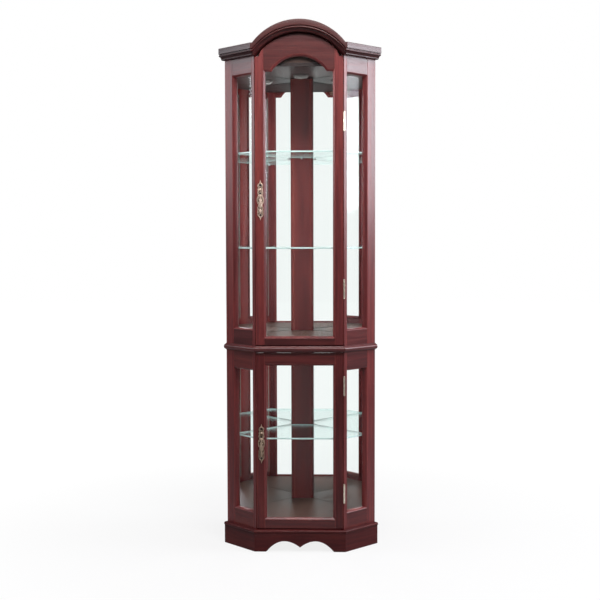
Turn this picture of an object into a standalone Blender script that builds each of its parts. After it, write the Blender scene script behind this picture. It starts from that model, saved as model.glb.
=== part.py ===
"""Corner china cabinet with glass doors: solids, joints' axes and fits.

Metres, +Z up, front towards -Y. The plan is a square corner with its front cut off: a flat front that holds
the doors, a glazed side at 45 degrees on each hand, and two mirrored walls that meet at a back post.
The design is written from the front plane (y = 0 on the doors' faces) and hangs on one empty, which moves it
so that the origin is the middle of the base.
"""

import math

import bmesh
import bpy

# Overall sizes
HEIGHT = 1.830
FRONT_WIDTH = 0.3066
BODY_WIDTH = 0.5290
REAR_WIDTH = 0.0600
GAP = 0.0003

# Boards
SIDE_T = 0.0200
BOARD_T = 0.0180
WALL_T = 0.0120
MIRROR_T = 0.0040
POST_WIDTH = 0.0820
SIDE_STILE_FACE = 0.0114
SIDE_STILE_REAR = 0.0450
SIDE_GLASS_T = 0.0030
SIDE_GLASS_LAP = 0.0042

# Heights
CROWN_TOP = 1.7520
CEILING_Z = 1.6780
CEILING_T = 0.0120
UPPER_FLOOR_Z = 0.7470
BELT_Z = 0.7075
BELT_DECK_T = 0.0220
BOTTOM_DECK_Z = 0.1120
BASE_TOP = 0.0760
RAIL_FOOT_Z = 0.0450
UPPER_WINDOW_Z = (0.777, 1.652)
LOWER_WINDOW_Z = (0.137, 0.632)

# Crown, belt and skirt: how far each stands out from the body
CROWN_OUT = 0.0280
CROWN_DROP = 0.0400
CROWN_FASCIA = 0.0210
ARCH_RADIUS = 0.2000
BLOCK_LAP = 0.0040
BELT_OUT = 0.0120
BELT_HEIGHT = 0.0230
SKIRT_OUT = 0.0130
SKIRT_LEDGE = 0.0030
SKIRT_BEAD = 0.0110
SCALLOP_REACH = 0.1150
SCALLOP_CREST = 0.0370
SCALLOP_CREST_X = 0.0530
SCALLOP_DROP_Z = 0.0150

# Doors
DOOR_T = 0.0180
DOOR_STOP_GAP = 0.0015
FREE_GAP = 0.0020
DOOR_GAP_Z = 0.0030
DOOR_CROWN_GAP = 0.0040
SHOULDER_X = 0.1350
SHOULDER_RUN = 0.0070
LIGHT_HALF = 0.1155
LIGHT_BOTTOM_UPPER = 0.7520
LIGHT_PEAK = 1.7100
LIGHT_SHOULDER = 1.6580
LIGHT_ARC_HALF = 0.0950
LOWER_LIGHT_Z = (0.117, 0.650)
GLASS_T = 0.0030
GLASS_LAP = 0.0060
GLASS_SET_BACK = 0.0098

# Hinges
HINGE_LENGTH = 0.0630
HINGE_LEAF_T = 0.0009
HINGE_LEAF_GAP = 0.0002
HINGE_LEAF_REACH = 0.0150
KNUCKLE_R = 0.0032
KNUCKLE_BORE_R = 0.0015
HINGE_PIN_R = 0.0012
HINGE_AXIS_OUT_X = 0.0008
HINGE_AXIS_OUT_Y = 0.0040
HINGE_Z = {"upper_door_top": 1.4885, "upper_door_bottom": 0.916,
           "lower_door_top": 0.580, "lower_door_bottom": 0.203}

# Pulls
PULL_X = -0.1335
PULL_Z = {"upper": 1.221, "lower": 0.378}
PLATE_T = 0.0025
PLATE_HALF_OUTLINE = ((0.0690, 0.0008), (0.0615, 0.0028), (0.0540, 0.0080), (0.0460, 0.0098),
                      (0.0390, 0.0080), (0.0330, 0.0108), (0.0250, 0.0090), (0.0170, 0.0112), (0.0, 0.0120))
DROP_PIVOT_RISE = 0.0160
DROP_PIVOT_OUT = 0.0070
DROP_EYE_R = 0.0026
DROP_BORE_R = 0.0013
DROP_PIN_R = 0.0010
DROP_EYE_HALF = 0.0018
EAR_GAP = 0.0005
EAR_T = 0.0017
EAR_R = 0.0025
DROP_SECTIONS = ((-0.0018, 0.0014, 0.0012), (-0.0100, 0.0018, 0.0015), (-0.0240, 0.0040, 0.0023),
                 (-0.0340, 0.0056, 0.0027), (-0.0405, 0.0042, 0.0022), (-0.0440, 0.0016, 0.0012),
                 (-0.0470, 0.0008, 0.0007))

# Shelves, pins, lamp and catches
SHELF_Z = {"top_shelf": 1.392, "middle_shelf": 1.059, "lower_shelf": 0.393}
SHELF_T = 0.0050
SHELF_SET_BACK = 0.0075
SHELF_CLEAR = 0.0020
PIN_R = 0.0020
PIN_LENGTH = 0.0115
PIN_SET = 0.0039
LAMP_TO_POST = 0.0950
LAMP_R = 0.0280
LAMP_H = 0.0090
LENS_R = 0.0210
LENS_H = 0.0030
CATCH_X = -0.1150
CATCH_SIZE = (0.022, 0.021, 0.012)

HALF = FRONT_WIDTH / 2
BODY_HALF = BODY_WIDTH / 2
COS45 = math.sqrt(0.5)
MITRE = math.tan(math.radians(22.5))
SIDE_RISE = BODY_HALF - HALF
SIDE_LENGTH = SIDE_RISE / COS45
REAR_Y = BODY_HALF + SIDE_RISE - REAR_WIDTH / 2
STOP_Y = DOOR_T + DOOR_STOP_GAP
STILE_INNER_START = STOP_Y / COS45 - SIDE_T
SIDE_STILE_FRONT = STILE_INNER_START + SIDE_STILE_FACE
PIN_ALONG = STILE_INNER_START + PIN_SET
SHELF_FRONT_Y = STOP_Y + SHELF_SET_BACK
MIRROR_FACE = WALL_T + GAP + MIRROR_T
POST_FRONT_Y = BODY_HALF + SIDE_RISE - MIRROR_FACE / COS45 - POST_WIDTH / 2
POST_FACE_U = (POST_FRONT_Y - SIDE_RISE + BODY_HALF - POST_WIDTH / 2) * COS45
HINGE_GAP = 2 * HINGE_LEAF_T + 3 * HINGE_LEAF_GAP
HINGE_AXIS = (HALF + HINGE_AXIS_OUT_X, -HINGE_AXIS_OUT_Y)
DOOR_LEFT = -HALF + FREE_GAP
DOOR_RIGHT = HALF - HINGE_GAP
BELT_DECK_TOP = BELT_Z + BELT_DECK_T / 2
BELT_DECK_FOOT = BELT_Z - BELT_DECK_T / 2
ARCH_END = math.sqrt(ARCH_RADIUS ** 2 - (ARCH_RADIUS - (HEIGHT - CROWN_TOP)) ** 2)
CROWN_CORNER = HALF + CROWN_OUT * MITRE
DEPTH = REAR_Y + CROWN_OUT

MATERIALS = {
    "cherry_wood": ((0.150, 0.038, 0.040), 0.34, 0.0),
    "inner_veneer": ((0.090, 0.062, 0.058), 0.40, 0.0),
    "back_board": ((0.110, 0.034, 0.034), 0.60, 0.0),
    "mirror": ((0.90, 0.92, 0.92), 0.04, 1.0),
    "clear_glass": ((0.80, 0.92, 0.89), 0.04, 0.0),
    "antique_brass": ((0.48, 0.36, 0.22), 0.36, 1.0),
    "hinge_brass": ((0.72, 0.56, 0.34), 0.30, 1.0),
    "pin_steel": ((0.62, 0.62, 0.63), 0.28, 1.0),
    "lamp_housing": ((0.060, 0.055, 0.052), 0.40, 0.0),
    "lamp_lens": ((0.90, 0.89, 0.84), 0.25, 0.0),
    "catch_plastic": ((0.12, 0.07, 0.05), 0.50, 0.0),
}


# Scene and mesh helpers

def clear_scene():
    for obj in list(bpy.data.objects):
        bpy.data.objects.remove(obj, do_unlink=True)


def make_materials():
    made = {}
    for name, (colour, roughness, metallic) in MATERIALS.items():
        material = bpy.data.materials.new(name)
        material.use_nodes = True
        shader = material.node_tree.nodes["Principled BSDF"]
        shader.inputs["Base Color"].default_value = (*colour, 1)
        shader.inputs["Roughness"].default_value = roughness
        shader.inputs["Metallic"].default_value = metallic
        made[name] = material
    return made


def add_node(name, mesh_data, slot, parent, location=(0, 0, 0)):
    """One named object with its material, hung on its parent empty."""
    obj = bpy.data.objects.new(name, mesh_data)
    mesh_data.materials.clear()
    mesh_data.materials.append(slots[slot])
    bpy.context.scene.collection.objects.link(obj)
    obj.parent = parent
    obj.location = location
    return obj


def mesh_from_rings(name, rings):
    """A closed mesh through rings that all hold the same number of points, with a face over each end."""
    bm = bmesh.new()
    made = [[bm.verts.new(point) for point in ring] for ring in rings]
    count = len(rings[0])
    for near, far in zip(made, made[1:]):
        for i in range(count):
            j = (i + 1) % count
            bm.faces.new((near[i], near[j], far[j], far[i]))
    bm.faces.new(made[0])
    bm.faces.new(made[-1])
    bmesh.ops.recalc_face_normals(bm, faces=bm.faces)
    data = bpy.data.meshes.new(name)
    bm.to_mesh(data)
    bm.free()
    return data


def upright(name, outline, low, high):
    """A plan outline of (x, y) points raised from low to high."""
    return mesh_from_rings(name, [[(x, y, z) for x, y in outline] for z in (low, high)])


def facing(name, outline, front, back):
    """An elevation outline of (x, z) points, taken from front to back along Y."""
    return mesh_from_rings(name, [[(x, y, z) for x, z in outline] for y in (front, back)])


def across(name, outline, left, right):
    """A section of (y, z) points, taken from left to right along X."""
    return mesh_from_rings(name, [[(x, y, z) for y, z in outline] for x in (left, right)])


def disc(centre, radius, sides=16, start=0.0):
    """Points of a circle in the plane of the two numbers of centre."""
    turns = [start + 2 * math.pi * i / sides for i in range(sides)]
    return [(centre[0] + radius * math.cos(a), centre[1] + radius * math.sin(a)) for a in turns]


def rectangle(left, right, low, high):
    return [(left, low), (right, low), (right, high), (left, high)]


def joined(data, others, operation):
    """The mesh after a Boolean with each of the others in turn."""
    base = bpy.data.objects.new("base", data)
    bpy.context.scene.collection.objects.link(base)
    helpers = []
    for other in others:
        helper = bpy.data.objects.new("helper", other)
        helper.hide_render = True
        helper.display_type = "WIRE"
        bpy.context.scene.collection.objects.link(helper)
        helpers.append(helper)
        modifier = base.modifiers.new("boolean", "BOOLEAN")
        modifier.operation = operation
        modifier.solver = "EXACT"
        modifier.object = helper
    bpy.context.view_layer.update()
    evaluated = base.evaluated_get(bpy.context.evaluated_depsgraph_get())
    result = bpy.data.meshes.new_from_object(evaluated)
    result.name = data.name
    for obj in (base, *helpers):
        bpy.data.objects.remove(obj, do_unlink=True)
    return result


def carved(data, cutters):
    return joined(data, cutters, "DIFFERENCE")


def fused(data, others):
    return joined(data, others, "UNION")


def hands():
    return (("left", -1), ("right", 1))


# Plan geometry

def side_point(along, inward, hand):
    """A plan point on a 45 degree side, measured from the front corner and in from its outer face."""
    x = HALF + (along - inward) * COS45
    return hand * x, (along + inward) * COS45


def wall_point(along, inward, hand):
    """A plan point on a rear wall, measured from the side's rear corner and in from its outer face."""
    x = BODY_HALF - (along + inward) * COS45
    return hand * x, SIDE_RISE + (along - inward) * COS45


def inner_half_width(y, clear):
    """Half the room between the two sides at this depth, less a clearance square to them."""
    return HALF + y - (SIDE_T + clear) / COS45


def room_outline(front_y, side_clear, wall_inward, post_clear):
    """The plan of what lies inside: a front edge, the sides, the walls and the post's face."""
    rear_y = POST_FRONT_Y - post_clear
    rear_half = BODY_HALF + SIDE_RISE - wall_inward / COS45 - rear_y
    half = [(inner_half_width(front_y, side_clear), front_y),
            wall_point(SIDE_T + side_clear, wall_inward, 1),
            (rear_half, rear_y)]
    return half + [(-x, y) for x, y in reversed(half)]


def deck_outline(front_y):
    """A board that reaches the walls' boards and steps round the post."""
    post_side = POST_FACE_U - GAP
    half = [(inner_half_width(front_y, GAP), front_y),
            wall_point(SIDE_T + GAP, WALL_T + GAP, 1),
            wall_point(post_side, WALL_T + GAP, 1),
            wall_point(post_side, MIRROR_FACE + GAP, 1)]
    half.append((half[-1][0] - GAP, POST_FRONT_Y - 2 * GAP))
    return half + [(-x, y) for x, y in reversed(half)]


def offset_corners(out):
    """The front's and sides' line moved out: rear left, front left, front right and rear right corners."""
    front = HALF + out * MITRE
    rear = BODY_HALF + out * COS45
    rear_y = SIDE_RISE - out * COS45
    return [(-rear, rear_y), (-front, -out), (front, -out), (rear, rear_y)]


def moulding(name, section, start):
    """A straight moulding from corner start to the next one; the section holds (out, z) points."""
    ends = []
    for index, pull in ((start, 1), (start + 1, -1)):
        ring = []
        for out, z in section:
            a, b = offset_corners(out)[start:start + 2]
            run = math.hypot(b[0] - a[0], b[1] - a[1])
            step = pull * GAP / run
            x, y = offset_corners(out)[index]
            ring.append((x + (b[0] - a[0]) * step, y + (b[1] - a[1]) * step, z))
        ends.append(ring)
    return mesh_from_rings(name, ends)


# Profiles

def arch_height(x):
    """The crown's top edge in front view, at its full projection."""
    if abs(x) >= ARCH_END:
        return CROWN_TOP
    return HEIGHT - ARCH_RADIUS + math.sqrt(ARCH_RADIUS ** 2 - x * x)


def arch_height_at(x, out):
    """The same edge at a lesser projection, where the crown's corners lie closer together."""
    return arch_height(x * CROWN_CORNER / (HALF + out * MITRE))


def crown_section(back):
    """(out, drop below the top edge) round the crown: fascia, cove and bead."""
    cove = []
    for i in range(5):
        turn = math.radians(90 * i / 4)
        cove.append((0.0245 - 0.0125 * math.sin(turn), -0.0345 + 0.0125 * math.cos(turn)))
    bead = [(0.0125, -0.0360), (0.0112, -0.0390), (0.0090, -CROWN_DROP)]
    fascia = [(back, 0.0), (CROWN_OUT, 0.0), (CROWN_OUT, -CROWN_FASCIA)]
    return fascia + cove + bead + [(back, -CROWN_DROP)]


def belt_section(centre_z):
    """A half round bead."""
    points = [(GAP, centre_z + BELT_HEIGHT / 2)]
    for i in range(7):
        turn = math.radians(-90 + 30 * i)
        points.append((0.003 + (BELT_OUT - 0.003) * math.cos(turn), centre_z - BELT_HEIGHT / 2 * math.sin(turn)))
    return points + [(GAP, centre_z - BELT_HEIGHT / 2)]


def skirt_section(foot):
    """The skirt board with its rounded bead on top."""
    bead_z = BASE_TOP - SKIRT_BEAD / 2
    bead_out = SKIRT_OUT + SKIRT_LEDGE - SKIRT_BEAD / 2
    points = [(GAP, foot), (SKIRT_OUT, foot), (SKIRT_OUT, BASE_TOP - SKIRT_BEAD)]
    for i in range(5):
        turn = math.radians(-60 + 37.5 * i)
        points.append((bead_out + SKIRT_BEAD / 2 * math.cos(turn), bead_z + SKIRT_BEAD / 2 * math.sin(turn)))
    return points + [(GAP, BASE_TOP)]


def scallop_height(x):
    """The skirt's lower edge: two arches that meet in a point."""
    x = abs(x)
    if x >= SCALLOP_REACH:
        return 0.0
    if x > SCALLOP_CREST_X:
        share = (x - SCALLOP_CREST_X) / (SCALLOP_REACH - SCALLOP_CREST_X)
        return SCALLOP_CREST * (1 - share * share)
    share = 1 - x / SCALLOP_CREST_X
    return SCALLOP_CREST - (SCALLOP_CREST - SCALLOP_DROP_Z) * share * share


def door_top(x):
    """The upper door's top edge: it follows the crown and drops to a flat shoulder near each edge."""
    shoulder = CROWN_TOP - CROWN_DROP - DOOR_GAP_Z
    reach = min(abs(x), SHOULDER_X)
    curve = arch_height_at(reach, 0.0) - CROWN_DROP - DOOR_CROWN_GAP
    if abs(x) <= SHOULDER_X:
        return curve
    share = min((abs(x) - SHOULDER_X) / SHOULDER_RUN, 1.0)
    return curve + (shoulder - curve) * share


def light_outline(grow):
    """The upper door's glass opening: a cathedral arch on two short shoulders, grown on all sides."""
    half = LIGHT_HALF + grow
    rise = LIGHT_PEAK - LIGHT_SHOULDER
    radius = (LIGHT_ARC_HALF ** 2 + rise ** 2) / (2 * rise)
    centre = LIGHT_PEAK - radius
    radius += grow
    shoulder = LIGHT_SHOULDER + grow
    reach = math.acos((shoulder - centre) / radius)
    steps = 16
    turns = [reach * (1 - 2 * i / steps) for i in range(steps + 1)]
    arc = [(radius * math.sin(a), centre + radius * math.cos(a)) for a in turns]
    foot = LIGHT_BOTTOM_UPPER - grow
    return [(-half, foot), (half, foot), (half, shoulder), *arc, (-half, shoulder)]


# Case

def make_sides(root):
    """Each side frame is one board with two windows; its front end is notched to clear the door."""
    window_end = SIDE_LENGTH - SIDE_STILE_REAR
    notch_half = inner_half_width(STOP_Y, 0.0)
    for word, hand in hands():
        outline = [(hand * HALF, 0.0), side_point(SIDE_LENGTH, 0, hand), side_point(SIDE_LENGTH, SIDE_T, hand),
                   (hand * notch_half, STOP_Y), (hand * HALF, STOP_Y)]
        cutters = []
        for low, high in (UPPER_WINDOW_Z, LOWER_WINDOW_Z):
            hole = [side_point(SIDE_STILE_FRONT, -SIDE_T, hand), side_point(window_end, -SIDE_T, hand),
                    side_point(window_end, 2 * SIDE_T, hand), side_point(SIDE_STILE_FRONT, 2 * SIDE_T, hand)]
            cutters.append(upright("window", hole, low, high))
        name = f"side_frame_{word}"
        board = upright(name, outline, 0.0, CROWN_TOP)
        add_node(name, carved(board, cutters), "cherry_wood", root)
        for level, (low, high) in (("upper", UPPER_WINDOW_Z), ("lower", LOWER_WINDOW_Z)):
            name = f"side_glass_{level}_{word}"
            near = SIDE_T + GAP
            pane = [side_point(SIDE_STILE_FRONT - SIDE_GLASS_LAP, near, hand),
                    side_point(window_end + SIDE_GLASS_LAP, near, hand),
                    side_point(window_end + SIDE_GLASS_LAP, near + SIDE_GLASS_T, hand),
                    side_point(SIDE_STILE_FRONT - SIDE_GLASS_LAP, near + SIDE_GLASS_T, hand)]
            data = upright(name, pane, low - SIDE_GLASS_LAP, high + SIDE_GLASS_LAP)
            add_node(name, data, "clear_glass", root)


def make_rear(root):
    """The corner post, and on each wall a board with one mirror above the belt and one below."""
    half = [(POST_WIDTH / 2, POST_FRONT_Y), wall_point(POST_FACE_U, 0, 1), (REAR_WIDTH / 2, REAR_Y)]
    outline = half + [(-x, y) for x, y in reversed(half)]
    add_node("back_post", upright("back_post", outline, 0.0, CROWN_TOP), "cherry_wood", root)
    start = SIDE_T + GAP
    end = POST_FACE_U - GAP
    bays = (("upper", UPPER_FLOOR_Z + GAP, CEILING_Z - GAP), ("lower", BOTTOM_DECK_Z + GAP, BELT_DECK_FOOT - GAP))
    for word, hand in hands():
        name = f"back_panel_{word}"
        board = [wall_point(u, w, hand) for u, w in rectangle(start, end, 0, WALL_T)]
        add_node(name, upright(name, board, 0.0, CROWN_TOP), "back_board", root)
        for level, low, high in bays:
            name = f"mirror_{level}_{word}"
            sheet = [wall_point(u, w, hand) for u, w in rectangle(start, end, WALL_T + GAP, MIRROR_FACE)]
            add_node(name, upright(name, sheet, low, high), "mirror", root)


def make_decks(root):
    """The boards that tie the case together, from the floor up."""
    behind_door = STOP_Y + GAP
    tongue = HALF - GAP
    lip = STOP_Y - GAP
    add_node("bottom_deck", upright("bottom_deck", deck_outline(behind_door), BOTTOM_DECK_Z - BOARD_T, BOTTOM_DECK_Z),
             "inner_veneer", root)
    belt = [(tongue, 0.0), (tongue, lip), (inner_half_width(STOP_Y, GAP) - GAP, lip)]
    inside = deck_outline(behind_door)
    outline = belt + inside + [(-x, y) for x, y in reversed(belt)]
    add_node("belt_deck", upright("belt_deck", outline, BELT_DECK_FOOT, BELT_DECK_TOP), "cherry_wood", root)
    add_node("upper_floor", upright("upper_floor", inside, BELT_DECK_TOP + GAP, UPPER_FLOOR_Z), "inner_veneer", root)
    add_node("ceiling", upright("ceiling", inside, CEILING_Z, CEILING_Z + CEILING_T), "inner_veneer", root)
    rail_back = behind_door + BOARD_T
    deck_foot = BOTTOM_DECK_Z - BOARD_T - GAP
    rebate = BASE_TOP - GAP
    rail = [(0.0, RAIL_FOOT_Z), (rail_back, RAIL_FOOT_Z), (rail_back, deck_foot), (behind_door, deck_foot),
            (behind_door, rebate), (0.0, rebate)]
    reach = inner_half_width(STOP_Y, GAP) - GAP
    add_node("base_rail", across("base_rail", rail, -reach, reach), "cherry_wood", root)


def make_header(root):
    """The arched board behind the upper door's top, which carries the crown."""
    reach = inner_half_width(STOP_Y, 2 * GAP)
    steps = 24
    top = []
    for i in range(steps + 1):
        x = reach * (1 - 2 * i / steps)
        top.append((x, arch_height_at(x, 0.0) - 0.002))
    foot = CEILING_Z + CEILING_T + GAP
    outline = [(-reach, foot), (reach, foot), *top]
    front = STOP_Y + GAP
    add_node("header", facing("header", outline, front, front + WALL_T), "inner_veneer", root)


def arched_sweep(name, section, reach_of):
    """A section of (out, drop) points taken along the crown's arch; reach_of gives each point's half run."""
    steps = 36
    rings = []
    for i in range(steps + 1):
        share = 2 * i / steps - 1
        top = arch_height(share * CROWN_CORNER)
        rings.append([(share * reach_of(out), -out, top + drop) for out, drop in section])
    return mesh_from_rings(name, rings)


def make_crown(root):
    """The arched front moulding, with the block behind it that meets the header, and two straight returns."""
    front = arched_sweep("crown_front", crown_section(0.0), lambda out: HALF + out * MITRE - GAP)
    block_section = rectangle(GAP - STOP_Y, BLOCK_LAP, -CROWN_DROP, 0.0)
    block = arched_sweep("crown_block", block_section, lambda out: HALF - GAP)
    add_node("crown_front", fused(front, [block]), "cherry_wood", root)
    straight = [(out, CROWN_TOP + drop) for out, drop in crown_section(GAP)]
    for (word, _), start in zip(hands(), (0, 2)):
        name = f"crown_{word}"
        add_node(name, moulding(name, straight, start), "cherry_wood", root)


def make_belt(root):
    for word, start in (("left", 0), ("front", 1), ("right", 2)):
        name = f"belt_{word}"
        add_node(name, moulding(name, belt_section(BELT_Z), start), "cherry_wood", root)


def make_skirt(root):
    """The scalloped front skirt and the plain side skirts."""
    steps = 40
    rings = []
    for i in range(steps + 1):
        share = 2 * i / steps - 1
        section = skirt_section(scallop_height(share * HALF))
        rings.append([(share * (HALF + out * MITRE - GAP), -out, z) for out, z in section])
    add_node("skirt_front", mesh_from_rings("skirt_front", rings), "cherry_wood", root)
    for (word, _), start in zip(hands(), (0, 2)):
        name = f"skirt_{word}"
        add_node(name, moulding(name, skirt_section(0.0), start), "cherry_wood", root)


# Doors. Each hangs on an empty on its hinge axis.

def door_frame(name, outline, opening, seat):
    """A glued frame with its glass opening and, behind it, the wider seat for the glass."""
    frame = facing(name, outline, 0.0, DOOR_T)
    through = facing("light", opening, -DOOR_T, 2 * DOOR_T)
    rebate = facing("seat", seat, GLASS_SET_BACK - GAP, 2 * DOOR_T)
    return carved(frame, [through, rebate])


def make_door(name, hinge_empty, outline, outline_at):
    location = (-HINGE_AXIS[0], -HINGE_AXIS[1], 0)
    frame = door_frame(f"{name}_frame", outline, outline_at(0.0), outline_at(GLASS_LAP + GAP))
    add_node(f"{name}_frame", frame, "cherry_wood", hinge_empty, location)
    pane = facing(f"{name}_glass", outline_at(GLASS_LAP), GLASS_SET_BACK, GLASS_SET_BACK + GLASS_T)
    add_node(f"{name}_glass", pane, "clear_glass", hinge_empty, location)


def upper_door_outline():
    foot = BELT_DECK_TOP + DOOR_GAP_Z
    breaks = [DOOR_RIGHT, SHOULDER_X + SHOULDER_RUN]
    steps = 28
    curve = [SHOULDER_X * (1 - 2 * i / steps) for i in range(steps + 1)]
    xs = [*breaks, *curve, -SHOULDER_X - SHOULDER_RUN, DOOR_LEFT]
    return [(DOOR_LEFT, foot), (DOOR_RIGHT, foot)] + [(x, door_top(x)) for x in xs]


def make_doors(empties):
    make_door("upper_door", empties["upper"], upper_door_outline(), light_outline)
    foot = BASE_TOP + DOOR_GAP_Z
    head = BELT_DECK_FOOT - DOOR_GAP_Z
    outline = rectangle(DOOR_LEFT, DOOR_RIGHT, foot, head)

    def lower_light(grow):
        return rectangle(-LIGHT_HALF - grow, LIGHT_HALF + grow, LOWER_LIGHT_Z[0] - grow, LOWER_LIGHT_Z[1] + grow)

    make_door("lower_door", empties["lower"], outline, lower_light)


def hinge_leaf(name, inner_x, knuckles, bore):
    """A leaf, measured from the hinge's axis and middle, with its knuckles and either a pin or a bore."""
    half = HINGE_LENGTH / 2
    clear_y = KNUCKLE_R + GAP
    far_y = HINGE_AXIS_OUT_Y + HINGE_LEAF_REACH
    plate = upright(name, rectangle(inner_x, inner_x + HINGE_LEAF_T, clear_y, far_y), -half, half)
    parts = []
    for low, high in knuckles:
        parts.append(upright("tab", rectangle(inner_x, inner_x + HINGE_LEAF_T, 0.0005, clear_y + 0.001), low, high))
        parts.append(upright("knuckle", disc((0, 0), KNUCKLE_R), low, high))
    if not bore:
        parts.append(upright("pin", disc((0, 0), HINGE_PIN_R, 12), -half + 0.002, half - 0.002))
        return fused(plate, parts)
    leaf = fused(plate, parts)
    return carved(leaf, [upright("bore", disc((0, 0), KNUCKLE_BORE_R, 12), -half, half)])


def make_hinges(root, empties):
    third = HINGE_LENGTH / 6
    half = HINGE_LENGTH / 2
    case_x = -HINGE_AXIS_OUT_X - HINGE_LEAF_GAP - HINGE_LEAF_T
    door_x = case_x - HINGE_LEAF_GAP - HINGE_LEAF_T
    case_leaf = hinge_leaf("hinge_case_leaf", case_x, [(-half, -third - GAP / 2), (third + GAP / 2, half)], False)
    door_leaf = hinge_leaf("hinge_door_leaf", door_x, [(-third + GAP / 2, third - GAP / 2)], True)
    for place, z in HINGE_Z.items():
        level = place.split("_")[0]
        add_node(f"{place}_hinge_case_leaf", case_leaf.copy(), "hinge_brass", root, (*HINGE_AXIS, z))
        add_node(f"{place}_hinge_door_leaf", door_leaf.copy(), "hinge_brass", empties[level], (0, 0, z))


# Pulls: a plate fixed to the door's free stile, and a drop that swings in its ears.

def pull_plate(name):
    outline = [(w, z) for z, w in PLATE_HALF_OUTLINE] + [(w, -z) for z, w in reversed(PLATE_HALF_OUTLINE[:-1])]
    outline += [(-x, z) for x, z in reversed(outline)]
    plate = facing(name, outline, -GAP - PLATE_T, -GAP)
    ear_near = DROP_EYE_HALF + EAR_GAP
    ear_far = ear_near + EAR_T
    axis = (-DROP_PIVOT_OUT, DROP_PIVOT_RISE)
    foot = -GAP - PLATE_T / 2
    parts = []
    for left in (-ear_far, ear_near):
        parts.append(across("ear", disc(axis, EAR_R, 12), left, left + EAR_T))
        arm = rectangle(axis[0], foot, axis[1] - 0.0018, axis[1] + 0.0018)
        parts.append(across("arm", arm, left, left + EAR_T))
    parts.append(across("pin", disc(axis, DROP_PIN_R, 12), -ear_far + 0.0004, ear_far - 0.0004))
    return fused(plate, parts)


def pull_drop(name):
    """A teardrop below an eye, measured from the pivot."""
    eye = across(name, disc((0, 0), DROP_EYE_R), -DROP_EYE_HALF, DROP_EYE_HALF)
    rings = []
    for z, half_x, half_y in DROP_SECTIONS:
        rings.append([(half_x * c, half_y * s, z) for c, s in disc((0, 0), 1.0, 12)])
    drop = fused(eye, [mesh_from_rings("pendant", rings)])
    return carved(drop, [across("bore", disc((0, 0), DROP_BORE_R, 12), -0.01, 0.01)])


def make_pulls(empties):
    plate = pull_plate("pull_plate")
    drop = pull_drop("pull_drop")
    for level, z in PULL_Z.items():
        local_x = PULL_X - HINGE_AXIS[0]
        local_y = -HINGE_AXIS[1]
        add_node(f"{level}_pull_plate", plate.copy(), "antique_brass", empties[level], (local_x, local_y, z))
        pivot = (local_x, local_y - DROP_PIVOT_OUT, z + DROP_PIVOT_RISE)
        add_node(f"{level}_pull_drop", drop.copy(), "antique_brass", empties[level], pivot)


# Fittings inside

def make_shelves(root):
    side_clear = GAP + SIDE_GLASS_T + SHELF_CLEAR
    outline = room_outline(SHELF_FRONT_Y, side_clear, MIRROR_FACE + SHELF_CLEAR, SHELF_CLEAR)
    for name, z in SHELF_Z.items():
        add_node(name, upright(name, outline, z - SHELF_T, z), "clear_glass", root)
        pin_z = z - SHELF_T - GAP - PIN_R
        for word, hand in hands():
            pin = [(r * PIN_R, h * PIN_R) for r, h in disc((0, 0), 1.0, 12)]
            rings = []
            for inward in (SIDE_T + GAP, SIDE_T + GAP + PIN_LENGTH):
                rings.append([(*side_point(PIN_ALONG + r, inward, hand), pin_z + h) for r, h in pin])
            pin_name = f"{name}_pin_{word}"
            add_node(pin_name, mesh_from_rings(pin_name, rings), "pin_steel", root)
        rear_name = f"{name}_pin_rear"
        rear = POST_FRONT_Y - GAP
        rear_pin = facing(rear_name, disc((0, pin_z), PIN_R, 12), rear - PIN_LENGTH, rear)
        add_node(rear_name, rear_pin, "pin_steel", root)


def make_lamp(root):
    top = CEILING_Z - GAP
    centre = (0, POST_FRONT_Y - LAMP_TO_POST)
    housing = upright("lamp_housing", disc(centre, LAMP_R, 32), top - LAMP_H, top)
    add_node("lamp_housing", housing, "lamp_housing", root)
    lens_top = top - LAMP_H - GAP
    lens = upright("lamp_lens", disc(centre, LENS_R, 32), lens_top - LENS_H, lens_top)
    add_node("lamp_lens", lens, "lamp_lens", root)


def make_catches(root):
    """A magnetic catch behind each door's free stile, under the board above it."""
    width, depth, height = CATCH_SIZE
    front = DOOR_T + 2 * GAP
    for level, under in (("upper", CEILING_Z), ("lower", BELT_DECK_FOOT)):
        name = f"{level}_door_catch"
        block = rectangle(CATCH_X - width / 2, CATCH_X + width / 2, front, front + depth)
        add_node(name, upright(name, block, under - GAP - height, under - GAP), "catch_plastic", root)


clear_scene()
slots = make_materials()
cabinet = bpy.data.objects.new("cabinet_origin", None)
bpy.context.scene.collection.objects.link(cabinet)
cabinet.location = (0, CROWN_OUT - DEPTH / 2, 0)
door_empties = {}
for door in ("upper", "lower"):
    empty = bpy.data.objects.new(f"{door}_door_axis", None)
    bpy.context.scene.collection.objects.link(empty)
    empty.parent = cabinet
    empty.location = (*HINGE_AXIS, 0)
    door_empties[door] = empty

make_sides(cabinet)
make_rear(cabinet)
make_decks(cabinet)
make_header(cabinet)
make_crown(cabinet)
make_belt(cabinet)
make_skirt(cabinet)
make_doors(door_empties)
make_hinges(cabinet, door_empties)
make_pulls(door_empties)
make_shelves(cabinet)
make_lamp(cabinet)
make_catches(cabinet)
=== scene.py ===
"""The looks of the corner china cabinet: its joinery, glass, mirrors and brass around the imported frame.

Metres, +Z up, front towards -Y. Shapes are written from the front plane, where y = 0 is the doors' faces, and
add_piece moves each one back to where the frame holds that plane.
"""

import math

import bmesh
import bpy
from mathutils import Matrix, Vector


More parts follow.
